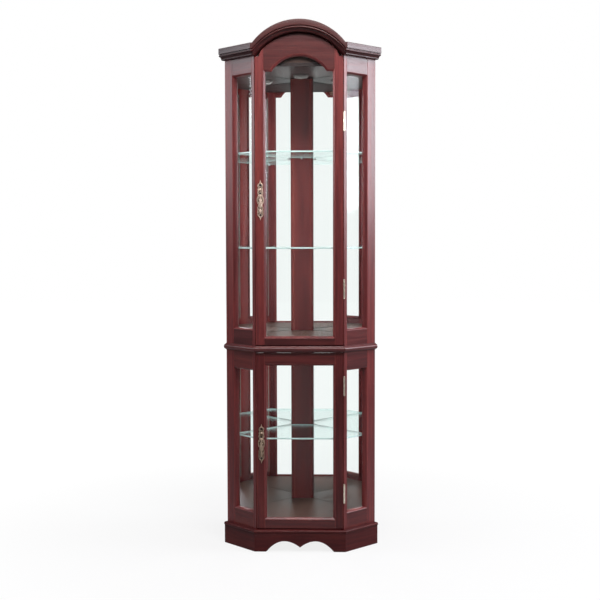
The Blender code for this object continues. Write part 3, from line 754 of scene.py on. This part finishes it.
def make_decks():
    inside = deck_outline(STOP_Y + GAP)
    for node in ("bottom_deck", "upper_floor", "ceiling"):
        # The ceiling takes the darker veneer as painted shade
        finish = CEILING_VENEER if node == "ceiling" else VENEER
        add_piece(f"{node}_board", upright(node, inside, *heights(node)), (finish,), [node],
                  edge=0.0007)
    tongue = HALF - GAP
    lip = STOP_Y - GAP
    belt = [(tongue, 0.0), (tongue, lip), (inner_half_width(STOP_Y, GAP) - GAP, lip)]
    outline = belt + inside + [(-x, y) for x, y in reversed(belt)]
    waist = upright("waist", outline, *heights("belt_deck"))
    wood("waist_board", waist, LEVEL_WOOD, ["belt_deck"], edge=0.0008)
    behind = STOP_Y + GAP
    depth = behind + 0.018
    low, high = heights("base_rail")
    rail = [(0.0, low), (depth, low), (depth, high), (behind, high), (behind, BASE_TOP - GAP),
            (0.0, BASE_TOP - GAP)]
    reach = highest("base_rail").x
    wood("plinth_rail", across("rail", rail, -reach, reach), LEVEL_WOOD, ["base_rail"], edge=0.0008)


def make_header():
    """The arched board behind the upper door's top."""
    reach = highest("header").x
    xs = [reach * (1 - 2 * i / 60) for i in range(61)]
    top = [(x, arch_over(x) - 0.002) for x in xs]
    foot = lowest("header").z
    outline = [(-reach, foot), (reach, foot), *top]
    front = STOP_Y + GAP
    mesh = facing("header", outline, front, front + WALL_T)
    add_piece("head_board", mesh, (VENEER,), ["header"], edge=0.0006)


def arched_sweep(name, section, reach_of):
    rings = []
    for share in arch_shares(96):
        top = arch_height(share * CROWN_CORNER)
        rings.append([(share * reach_of(out), -out, top + drop) for out, drop in section])
    return from_rings(name, rings)


def make_crown():
    front = arched_sweep("crown", crown_section(0.0), lambda out: HALF + out * MITRE - GAP / 2)
    wood("crown_arch", front, CROWN_WOOD, ["crown_front"], edge=0)
    block = [(GAP - STOP_Y, -0.0005), (GAP - STOP_Y, -CROWN_DROP), (0.0, -CROWN_DROP), (0.0, -0.0005)]
    core = arched_sweep("core", block, lambda out: HALF - GAP)
    wood("crown_core", core, CROWN_WOOD, ["crown_front"], edge=0.0006)
    straight = [(out, CROWN_TOP + drop) for out, drop in crown_section(GAP)]
    along_sides("crown_return", straight, "crown", CROWN_WOOD)


def along_sides(name, section, node, finishes):
    """A moulding on both sides, each kept in its side's own frame so that its grain runs along it."""
    for (word, hand), start in zip(HANDS, (0, 2)):
        place = side_place(hand)
        mesh = moved(moulding(name, section, start), place.inverted())
        wood(f"{name}_{word}", mesh, finishes, [f"{node}_{word}"], place=place, edge=0)


def make_belt():
    along_sides("waist_bead", belt_section(), "belt", LEVEL_WOOD)
    wood("waist_bead_front", moulding("bead", belt_section(), 1), LEVEL_WOOD, ["belt_front"], edge=0)


def make_skirt():
    rings = []
    steps = 150
    for i in range(steps + 1):
        share = 2 * i / steps - 1
        section = skirt_section(scallop_height(share * HALF))
        rings.append([(share * (HALF + out * MITRE - GAP / 2), -out, z) for out, z in section])
    wood("skirt_board_front", from_rings("skirt", rings), BASE_WOOD, ["skirt_front"], edge=0)
    along_sides("skirt_board", skirt_section(0.0), "skirt", BASE_WOOD)


# Doors

def sticking_section():
    """The moulded inner edge of a door: a small step, a slope that catches light, and a square behind."""
    return [(STICKING - 0.0001, 0.0005), (0.0060, 0.0007), (0.0052, 0.0016), (0.0030, 0.0032),
            (0.0008, 0.0058), (0.0, 0.0066), (0.0, GLASS_Y - GAP), (STICKING - 0.0001, GLASS_Y - GAP)]


def make_door(level, light, head_outline, foot_z, stile_top):
    """Stiles, rails, sticking, pane and the slim beads that hold the pane from behind."""
    body = f"{level}_door"
    node = f"{level}_door_frame"
    edge = LIGHT_HALF + STICKING
    foot = lowest(node).z
    for word, left, right in (("left", DOOR_LEFT, -edge), ("right", edge, DOOR_RIGHT)):
        outline = [(left, foot), (right, foot), *stile_top(left, right)]
        wood(f"{level}_stile_{word}", facing("stile", outline, 0.0, DOOR_T), STILE_WOOD[level], [node], body)
    foot_rail = facing("rail", rectangle(-edge, edge, foot, foot_z - STICKING), 0.0, DOOR_T)
    wood(f"{level}_foot_rail", foot_rail, LEVEL_WOOD, [node], body)
    head = facing("rail", head_outline(edge), 0.0, DOOR_T)
    wood(f"{level}_head_rail", head, HEAD_WOOD[level], [node], body)
    sticking = ringed("sticking", light, sticking_section())
    wood(f"{level}_sticking", sticking, UPRIGHT_WOOD, [node], body, edge=0)
    add_glass(f"{level}_pane", facing("pane", light(GLASS_LAP), GLASS_Y, GLASS_Y + GLASS_T), "y",
              [f"{level}_door_glass"], body)
    back = GLASS_Y + GLASS_T + GAP
    bead = [(0.0006, back), (GLASS_LAP, back), (GLASS_LAP, DOOR_T - 0.0004), (0.0040, DOOR_T - 0.0004),
            (0.0016, DOOR_T - 0.0018), (0.0006, back + 0.0020)]
    wood(f"{level}_glass_bead", ringed("bead", light, bead), UPRIGHT_WOOD, [node], body, edge=0)


def make_doors():
    def arched_head(edge):
        shoulder = LIGHT_SHOULDER + STICKING
        top = door_top_run(-edge, edge, 60)
        return [(edge, shoulder), *light_arc(STICKING), (-edge, shoulder), *reversed(top)]

    def arched_stile(left, right):
        return door_top_run(left, right, 30)

    make_door("upper", upper_light, arched_head, LIGHT_FOOT, arched_stile)
    head_z = highest("lower_door_frame").z

    def flat_head(edge):
        return rectangle(-edge, edge, LOWER_LIGHT_Z[1] + STICKING, head_z)

    def flat_stile(left, right):
        return [(right, head_z), (left, head_z)]

    make_door("lower", lower_light, flat_head, LOWER_LIGHT_Z[0], flat_stile)


def make_hinges():
    """Butt hinges: a leaf with its knuckles on the case, and one on the door, each with three screws."""
    third = HINGE_HALF / 3
    case_x = -HINGE_OUT - LEAF_PLAY - LEAF_T
    door_x = case_x - LEAF_PLAY - LEAF_T
    middles = {"upper_door_top": 1.4885, "upper_door_bottom": 0.916,
               "lower_door_top": 0.580, "lower_door_bottom": 0.203}
    barrels = {"case": ((-HINGE_HALF, -third - GAP), (third + GAP, HINGE_HALF)),
               "door": ((-third + GAP, third - GAP),)}
    tip = [(0.0, 0.0016), (0.0006, 0.0016), (0.0008, 0.0024), (0.0018, 0.0026), (0.0028, 0.0016),
           (0.0031, 0.0)]
    screw = [(0.0, 0.0021), (0.00005, 0.0021), (0.00012, 0.0014), (0.00013, 0.0)]
    for hinge, z in middles.items():
        for owner, leaf_x, outward in (("case", case_x, 1), ("door", door_x, -1)):
            far = leaf_x + LEAF_T
            shells = [upright("leaf", rectangle(leaf_x, far, KNUCKLE + GAP, 0.0190), -HINGE_HALF, HINGE_HALF)]
            for low, high in barrels[owner]:
                shells.append(upright("tab", rectangle(leaf_x, far, 0.0005, KNUCKLE + 0.0012), low, high))
                profile = [(low, KNUCKLE - 0.0006), (low + 0.0005, KNUCKLE), (high - 0.0005, KNUCKLE),
                           (high, KNUCKLE - 0.0006)]
                shells.append(turned("barrel", profile, 24))
            if owner == "case":
                for end, degrees in ((-1, 180), (1, 0)):
                    shells.append(moved(turned("tip", tip, 18), placed(0, 0, end * HINGE_HALF, degrees, "X")))
            screw_x = (far if owner == "case" else leaf_x) - outward * LEAF_T
            for step in (-1, 0, 1):
                stand = placed(screw_x, 0.0125, step * 0.0200, -90 * outward, "Y")
                shells.append(moved(turned("head", screw, 16), stand))
            body = "cabinet" if owner == "case" else f"{hinge[:5]}_door"
            add_piece(f"{hinge}_{owner}_leaf", merged("leaf", shells), (HINGE_BRASS,),
                      [f"{hinge}_hinge_{owner}_leaf"], body, placed(*HINGE_AXIS, z))


# Pulls

PULL_X = -0.1335
PULL_Z = {"upper": 1.221, "lower": 0.378}
PLATE_T = 0.0025
PLATE_FACE = -PLATE_T - GAP
PIVOT = (-0.0070, 0.0160)
# (height from the plate's middle, half width) down its right edge, in millimetres
PLATE_EDGE = (
    (69.0, 0.5), (65.0, 1.3), (60.5, 2.6), (57.0, 6.2), (53.0, 9.0), (49.5, 9.4), (45.5, 7.4), (42.5, 6.6),
    (39.0, 8.6), (36.0, 9.5), (32.5, 8.3), (29.0, 9.3), (25.5, 10.2), (21.5, 8.8), (18.0, 7.6), (14.5, 8.6),
    (10.0, 10.8), (4.0, 11.9), (-3.0, 11.8), (-9.0, 10.6), (-13.5, 8.2), (-17.0, 7.0), (-20.5, 7.6),
    (-24.0, 9.6), (-27.5, 10.3), (-30.5, 9.0), (-34.0, 9.2), (-38.0, 10.2), (-43.0, 9.8), (-48.0, 9.9),
    (-53.0, 8.8), (-57.0, 5.8), (-60.5, 2.8), (-65.0, 1.3), (-69.0, 0.5))
# (middle across, middle up, half width, half height, rise) of the bosses down its middle
BOSSES = ((0, 0.0375, 0.0036, 0.0036, 0.0020), (0, 0.0, 0.0046, 0.0050, 0.0022),
          (0, 0.0625, 0.0011, 0.0034, 0.0012), (0, -0.0625, 0.0011, 0.0034, 0.0012),
          (0, -0.0360, 0.0042, 0.0062, 0.0018))


def curved_through(points, steps):
    """A smooth open line through the points."""
    padded = [points[0], *points, points[-1]]
    line = []
    for p0, p1, p2, p3 in zip(padded, padded[1:], padded[2:], padded[3:]):
        for i in range(steps):
            t = i / steps
            line.append(tuple(
                0.5 * (2 * b + (c - a) * t + (2 * a - 5 * b + 4 * c - d) * t ** 2
                       + (3 * b - a - 3 * c + d) * t ** 3)
                for a, b, c, d in zip(p0, p1, p2, p3)))
    return line + [points[-1]]


def pierced(name, outlines, thickness, edge):
    """A flat plate with holes and softened edges, standing upright with its face towards the front."""
    curve = bpy.data.curves.new(name, "CURVE")
    curve.dimensions = "2D"
    curve.fill_mode = "BOTH"
    curve.extrude = thickness / 2 - edge
    curve.bevel_depth = edge
    curve.bevel_resolution = 2
    curve.offset = -edge
    for outline in outlines:
        spline = curve.splines.new("POLY")
        spline.points.add(len(outline) - 1)
        for point, (x, z) in zip(spline.points, outline):
            point.co = (x, z, 0, 1)
        spline.use_cyclic_u = True
    holder = linked(name, curve)
    bpy.context.view_layer.update()
    mesh = bpy.data.meshes.new_from_object(holder.evaluated_get(bpy.context.evaluated_depsgraph_get()))
    bpy.data.objects.remove(holder, do_unlink=True)
    mesh.materials.clear()
    bm = bmesh.new()
    bm.from_mesh(mesh)
    bmesh.ops.remove_doubles(bm, verts=bm.verts, dist=0.00002)
    bmesh.ops.recalc_face_normals(bm, faces=bm.faces)
    bm.to_mesh(mesh)
    bm.free()
    return moved(mesh, placed(0, 0, 0, 90, "X"))


def tube(name, line, radius, sides=8, closed=False):
    """A round wire along a line of (x, y, z) points; radius may be a function of the share along it."""
    points = [Vector(point) for point in line]
    count = len(points)
    rings = []
    for i, point in enumerate(points):
        before = points[(i - 1) % count] if closed or i else point
        after = points[(i + 1) % count] if closed or i < count - 1 else point
        ahead = (after - before).normalized()
        side = ahead.cross(Vector((0, 1, 0)))
        side = side.normalized() if side.length > 1e-6 else Vector((1, 0, 0))
        up = side.cross(ahead)
        reach = radius(i / (count - 1)) if callable(radius) else radius
        rings.append([point + side * reach * c + up * reach * s for c, s in circle(sides)])
    return from_rings(name, rings, loop=closed)


def dome(name, x, z, half_x, half_z, height, sides=20):
    """A low oval boss on the plate's face."""
    rings = []
    for share in (0.0, 0.25, 0.5, 0.75, 0.9, 1.0):
        reach = max(math.cos(math.radians(90 * share)), 0.01)
        rise = math.sin(math.radians(90 * share)) * height
        rings.append([(x + half_x * reach * c, PLATE_FACE + 0.0002 - rise, z + half_z * reach * s)
                      for c, s in circle(sides)])
    return from_rings(name, rings)


def teardrop(centre_z, half_x, up, down):
    """A closed outline, round on one side and drawn to a point on the other."""
    points = []
    for i in range(20):
        turn = 2 * math.pi * i / 20
        rise = math.cos(turn)
        pinch = 1 - 0.45 * max(rise if up > down else -rise, 0.0)
        points.append((half_x * math.sin(turn) * pinch, centre_z + (up if rise > 0 else down) * rise))
    return points


def plate_holes():
    round_top = [(0.0046 * c, 0.0512 + 0.0048 * s) for c, s in circle(24)]
    heart = teardrop(0.0245, 0.0052, 0.0026, 0.0050)
    window = teardrop(-0.0185, 0.0044, 0.0054, 0.0026)
    round_foot = [(0.0043 * c, -0.0515 + 0.0046 * s) for c, s in circle(24)]
    return [round_top, heart, window, round_foot]


def scroll(start, turn, size, hand):
    """A small volute in relief."""
    line = []
    for i in range(26):
        share = i / 25
        angle = turn + share * 2 * math.pi * 1.25
        reach = size * (1 - 0.78 * share)
        line.append((hand * (start[0] + reach * math.cos(angle)), PLATE_FACE - 0.0002,
                     start[1] + reach * math.sin(angle)))
    return tube("scroll", line, lambda share: 0.00062 * (1 - 0.45 * share), 7)


def relief(mesh):
    """Marks a shell as the polished relief, over the darker ground of the plate."""
    return painted(mesh, lambda normal: 1)


def make_pull(level, metals):
    """A pierced and chased plate with a raised rim, and a pendant drop in two ears."""
    edge = [(w / 1000, z / 1000) for z, w in PLATE_EDGE]
    right = curved_through(edge, 5)
    outline = mirrored(right)
    holes = plate_holes()
    plate = pierced("plate", [outline, *holes], PLATE_T, 0.0005)
    shells = [moved(plate, placed(0, -PLATE_T / 2 - GAP, 0))]
    rim = [(x - math.copysign(min(abs(x), 0.0011), x), PLATE_FACE, z * 0.985) for x, z in outline]
    shells.append(relief(tube("rim", rim, 0.00095, 8, closed=True)))
    for hole in holes:
        middle = sum(z for _, z in hole) / len(hole)
        ring = [(x * 1.16, PLATE_FACE, middle + (z - middle) * 1.15) for x, z in hole]
        shells.append(relief(tube("eyelet", ring, 0.00060, 7, closed=True)))
    for boss in BOSSES:
        shells.append(relief(dome("boss", *boss)))
    for i in range(10):
        angle = 2 * math.pi * i / 10
        across_it, up_it = 0.0062 * math.sin(angle), -0.0360 + 0.0084 * math.cos(angle)
        shells.append(relief(dome("bead", across_it, up_it, 0.0009, 0.0009, 0.0010, 10)))
    for hand in (-1, 1):
        shells.append(relief(scroll((0.0066, 0.0075), -0.4, 0.0030, hand)))
        shells.append(relief(scroll((0.0066, -0.0070), 0.4 + math.pi, 0.0028, hand)))
        shells.append(relief(scroll((0.0056, 0.0340), 0.2, 0.0022, hand)))
    shells += [relief(ear) for ear in pull_ears()]
    place = placed(PULL_X, 0, PULL_Z[level])
    # A dark sheet behind the plate, a little smaller than it, paints shadow in the holes
    shade = facing("shade", [(x * 0.93, z * 0.985) for x, z in outline], -0.0008, -GAP)
    add_piece(f"{level}_pull_shadow_sheet", shade, (PULL_SHADE,), [f"{level}_pull_plate"],
              f"{level}_door", place)
    add_piece(f"{level}_pull_back", merged("plate", shells), metals, [f"{level}_pull_plate"],
              f"{level}_door", place)
    make_drop(level, PULL_DROP if level == "upper" else metals[1])


def pull_ears():
    """The two ears on the plate and the pin between them."""
    ears = []
    foot = PLATE_FACE + 0.0004
    flag = [*arc(PIVOT, 0.0025, 70, 290, 12), (foot, PIVOT[1] - 0.0030), (foot, PIVOT[1] + 0.0030)]
    for left in (-0.0040, 0.0023):
        ears.append(across("ear", flag, left, left + 0.0017))
    half = [(-0.0044, 0.0), (-0.0043, 0.0012), (-0.0040, 0.0013), (-0.0040, 0.0010)]
    pin = turned("pin", half + [(-z, radius) for z, radius in reversed(half)], 14)
    return ears + [moved(pin, placed(0, *PIVOT, 90, "Y"))]


def make_drop(level, metal):
    """The pendant: an eye, a collar, a waisted stem and a swelling teardrop with its tip."""
    stations = ((-0.0017, 0.0023), (-0.0010, 0.0026), (0.0010, 0.0026), (0.0017, 0.0023))
    outer = [[(x, reach * c, reach * s) for c, s in circle(24)] for x, reach in stations]
    inner = [[(x, 0.0013 * c, 0.0013 * s) for c, s in circle(24)] for x, _ in reversed(stations)]
    hub = from_rings("hub", outer + inner, loop=True)
    profile = (
        (-0.0024, 1.1, 1.0), (-0.0036, 1.5, 1.3), (-0.0044, 2.4, 1.8), (-0.0052, 2.5, 1.9),
        (-0.0060, 1.6, 1.4), (-0.0080, 1.4, 1.3), (-0.0120, 1.8, 1.5), (-0.0180, 2.9, 1.9),
        (-0.0250, 4.2, 2.3), (-0.0310, 5.2, 2.6), (-0.0345, 5.5, 2.7), (-0.0380, 5.1, 2.5),
        (-0.0405, 3.9, 2.1), (-0.0418, 2.2, 1.6), (-0.0426, 1.5, 1.2), (-0.0434, 2.0, 1.5),
        (-0.0446, 2.0, 1.5), (-0.0458, 1.3, 1.0), (-0.0468, 0.4, 0.4))
    rings = []
    for z, half_x, half_y in profile:
        rings.append([(half_x / 1000 * c, half_y / 1000 * s, z) for c, s in circle(24)])
    pendant = from_rings("pendant", rings)
    place = placed(PULL_X, PIVOT[0], PULL_Z[level] + PIVOT[1])
    add_piece(f"{level}_pull_pendant", merged("drop", [hub, pendant]), (metal,),
              [f"{level}_pull_drop"], f"{level}_drop", place, smooth=40)


# Fittings inside

def room_outline(front_y, side_clear, wall_inward, post_clear):
    rear_y = POST_FRONT_Y - post_clear
    rear_half = BODY_HALF + SIDE_RISE - wall_inward / COS45 - rear_y
    return mirrored([(inner_half_width(front_y, side_clear), front_y),
                     wall_point(SIDE_T + side_clear, wall_inward, 1),
                     (rear_half, rear_y)])


def shelf_pin():
    """A pin with its collar, its shaft and a rounded tip, along its own Z from the wall."""
    return turned("pin", [(0.0, 0.0019), (0.0001, 0.0030), (0.0010, 0.0030), (0.0013, 0.0020),
                          (0.0105, 0.0020), (0.0112, 0.0016), (0.0115, 0.0008), (0.0116, 0.0)], 20)


def make_shelves():
    outline = room_outline(lowest("top_shelf").y - FRONT_Y, GAP + 0.0050, MIRROR_FACE + 0.0020, 0.0020)
    for shelf in ("top_shelf", "middle_shelf", "lower_shelf"):
        add_glass(f"{shelf}_pane", upright("shelf", outline, *heights(shelf)), "z", [shelf],
                  glass=(SHELF_GLASS, SHELF_EDGE), edge=0.0007)
        studs = [(word, hand * PIN_ALONG, SIDE_T + GAP, -90, side_place(hand)) for word, hand in HANDS]
        for word, x, y, turn, place in (*studs, ("rear", 0, POST_FRONT_Y - GAP, 90, None)):
            node = f"{shelf}_pin_{word}"
            stand = placed(x, y, middle_of(node).z, turn, "X")
            add_piece(f"{shelf}_stud_{word}", moved(shelf_pin(), stand), (STEEL,), [node],
                      place=place)


def make_lamp():
    """A low round lamp under the ceiling: a stepped ring and a ribbed lens."""
    centre_y = middle_of("lamp_housing").y - FRONT_Y
    top = highest("lamp_housing").z
    drop = top - lowest("lamp_housing").z
    radius = highest("lamp_housing").x
    steps = [(0.0, radius - 0.0008), (-0.0008, radius), (-drop * 0.35, radius),
             (-drop * 0.45, radius - 0.0010), (-drop * 0.85, radius - 0.0020),
             (-drop + 0.0006, radius - 0.0030), (-drop, radius - 0.0040), (-drop, 0.0)]
    add_piece("lamp_ring", turned("ring", steps, 64), (LAMP_BODY,), ["lamp_housing"],
              place=placed(0, centre_y, top))
    reach = highest("lamp_lens").x
    depth = highest("lamp_lens").z - lowest("lamp_lens").z
    profile = [(0.0, reach - 0.0002), (-0.0006, reach)]
    for i in range(17):
        share = i / 16
        wave = 0.00022 * math.cos(share * 8 * 2 * math.pi)
        height = -depth * (0.55 + 0.40 * math.sin(share * math.pi / 2)) + wave
        profile.append((height, reach * (0.97 - 0.95 * share)))
    profile.append((-depth * 0.95, 0.0))
    add_piece("lamp_diffuser", turned("lens", profile, 64), (LENS,), ["lamp_lens"],
              place=placed(0, centre_y, highest("lamp_lens").z))


def make_catches():
    """A catch block with its two magnet poles."""
    for level in ("upper", "lower"):
        node = f"{level}_door_catch"
        low = lowest(node)
        high = highest(node)
        front = low.y - FRONT_Y
        block = upright("block", rectangle(low.x, high.x, front + 0.0012, high.y - FRONT_Y), low.z, high.z)
        add_piece(f"{level}_catch_block", block, (CATCH,), [node], edge=0.0011, segments=3)
        middle = middle_of(node).x
        poles = []
        for step in (-0.0050, 0.0026):
            plan = rectangle(middle + step, middle + step + 0.0024, front, front + 0.0060)
            poles.append(upright("pole", plan, low.z + 0.0022, high.z - 0.0022))
        add_piece(f"{level}_catch_poles", merged("poles", poles), (STEEL,), edge=0.0003)


# Stage, light and camera

WHITE = (1.0, 1.0, 1.0, 1.0)


def floor_finish():
    """Pale matt paper, which to the eye and in the mirrors runs into the white backdrop."""
    finish = Finish("stage_floor")
    own = finish.stretched()
    paper = finish.mixed(finish.noise(own, 2.0, 3.0), (0.36, 0.36, 0.365), (0.40, 0.40, 0.405))
    matt = finish.node("ShaderNodeBsdfDiffuse", {"Color": paper})
    away = finish.node("ShaderNodeVectorMath", {0: own}, out="Value", operation="LENGTH")
    glow = finish.ranged(away, 0.3, 1.6, 0.82, 1.0) * finish.seen_directly()
    lit = finish.node("ShaderNodeEmission", {"Color": WHITE, "Strength": 1.02})
    return finish.shown(finish.node("ShaderNodeMixShader", {0: glow, 1: matt, 2: lit}))


def make_stage():
    mesh = bpy.data.meshes.new("floor")
    mesh.from_pydata([(x, y, 0) for x, y in rectangle(-14, 14, -14, 14)], [], [(0, 1, 2, 3)])
    mesh.materials.append(floor_finish())
    linked("floor", mesh)


def area_light(name, place, aim, size, power, colour):
    light = bpy.data.lights.new(name, "AREA")
    light.shape = "RECTANGLE"
    light.size, light.size_y = size
    light.energy = power
    light.color = colour
    lamp = linked(name, light)
    lamp.location = place
    lamp.rotation_euler = (Vector(aim) - Vector(place)).to_track_quat("-Z", "Y").to_euler()
    return lamp


ROOM_GLOW = 0.20
FRONT_GLOW = 0.44
BACKDROP_GLOW = 1.0
FRONT_AND_UP = (0.0, -0.94, 0.34)


def make_world():
    """White to the eye and in the mirrors; as light on the wood, a dim room with a broad glow in front."""
    studio = Finish("studio", bpy.data.worlds)
    where = studio.node("ShaderNodeTexCoord", out="Generated")
    ahead = studio.node("ShaderNodeVectorMath", {0: where, 1: FRONT_AND_UP}, out="Value",
                        operation="DOT_PRODUCT")
    room = studio.ranged(ahead, 0.35, 1.0, ROOM_GLOW, FRONT_GLOW)
    level = studio.ranged(studio.seen_directly(), 0.0, 1.0, room, BACKDROP_GLOW)
    sky = studio.node("ShaderNodeBackground", {"Color": WHITE, "Strength": level})
    bpy.context.scene.world = studio.shown(sky, "ShaderNodeOutputWorld")


def make_light():
    """Softboxes for the sheen on the sides and the crown, and two unseen lights inside."""
    bpy.context.scene.view_settings.view_transform = "Standard"
    area_light("right_key", (2.8, -0.2, 2.05), (0.0, 0.0, 1.6), (1.0, 1.6), 130, (0.92, 0.93, 1.0))
    area_light("left_fill", (-2.8, -0.3, 2.05), (0.0, 0.0, 1.6), (0.8, 1.4), 50, (0.93, 0.94, 1.0))
    area_light("high_front", (0.35, -1.5, 2.95), (0.0, 0.0, 1.5), (1.6, 0.6), 112, (1.0, 0.96, 0.96))
    for name, y, ahead, power in (("inside_back", FRONT_Y + 0.040, 1, 1.9), ("inside_front", 0.100, -1, 7.0)):
        inner = area_light(name, (0.0, y, 0.95), (0.0, y + ahead, 0.95), (0.18, 1.40), power,
                           (1.0, 0.97, 0.98))
        inner.visible_camera = False
        inner.visible_glossy = False
        inner.visible_transmission = False


def make_camera():
    """The view: a little right of the middle, at chest height, looking slightly down and left."""
    data = bpy.data.cameras.new("camera")
    data.lens = 65.1
    data.sensor_width = 36.0
    yaw, pitch, roll = -0.0311, 0.0576, -0.0025
    ahead = Vector((math.sin(yaw) * math.cos(pitch), math.cos(yaw) * math.cos(pitch), -math.sin(pitch)))
    across_view = Vector((math.cos(yaw), -math.sin(yaw), 0))
    up = across_view.cross(ahead)
    right = math.cos(roll) * across_view + math.sin(roll) * up
    up = math.cos(roll) * up - math.sin(roll) * across_view
    camera = linked("camera", data)
    turn = Matrix((right, up, -ahead)).transposed().to_4x4()
    camera.matrix_world = Matrix.Translation((0.1178, -3.7322 + FRONT_Y, 1.0933)) @ turn
    bpy.context.scene.camera = camera


make_camera()
for side_word, side_hand in HANDS:
    make_side(side_word, side_hand)
make_walls()
make_decks()
make_header()
make_crown()
make_belt()
make_skirt()
make_doors()
make_hinges()
make_pull("upper", (PULL_GROUND, PULL_RELIEF))
make_pull("lower", (LOWER_GROUND, LOWER_RELIEF))
make_shelves()
make_lamp()
make_catches()
make_stage()
make_world()
make_light()

bpy.context.view_layer.update()
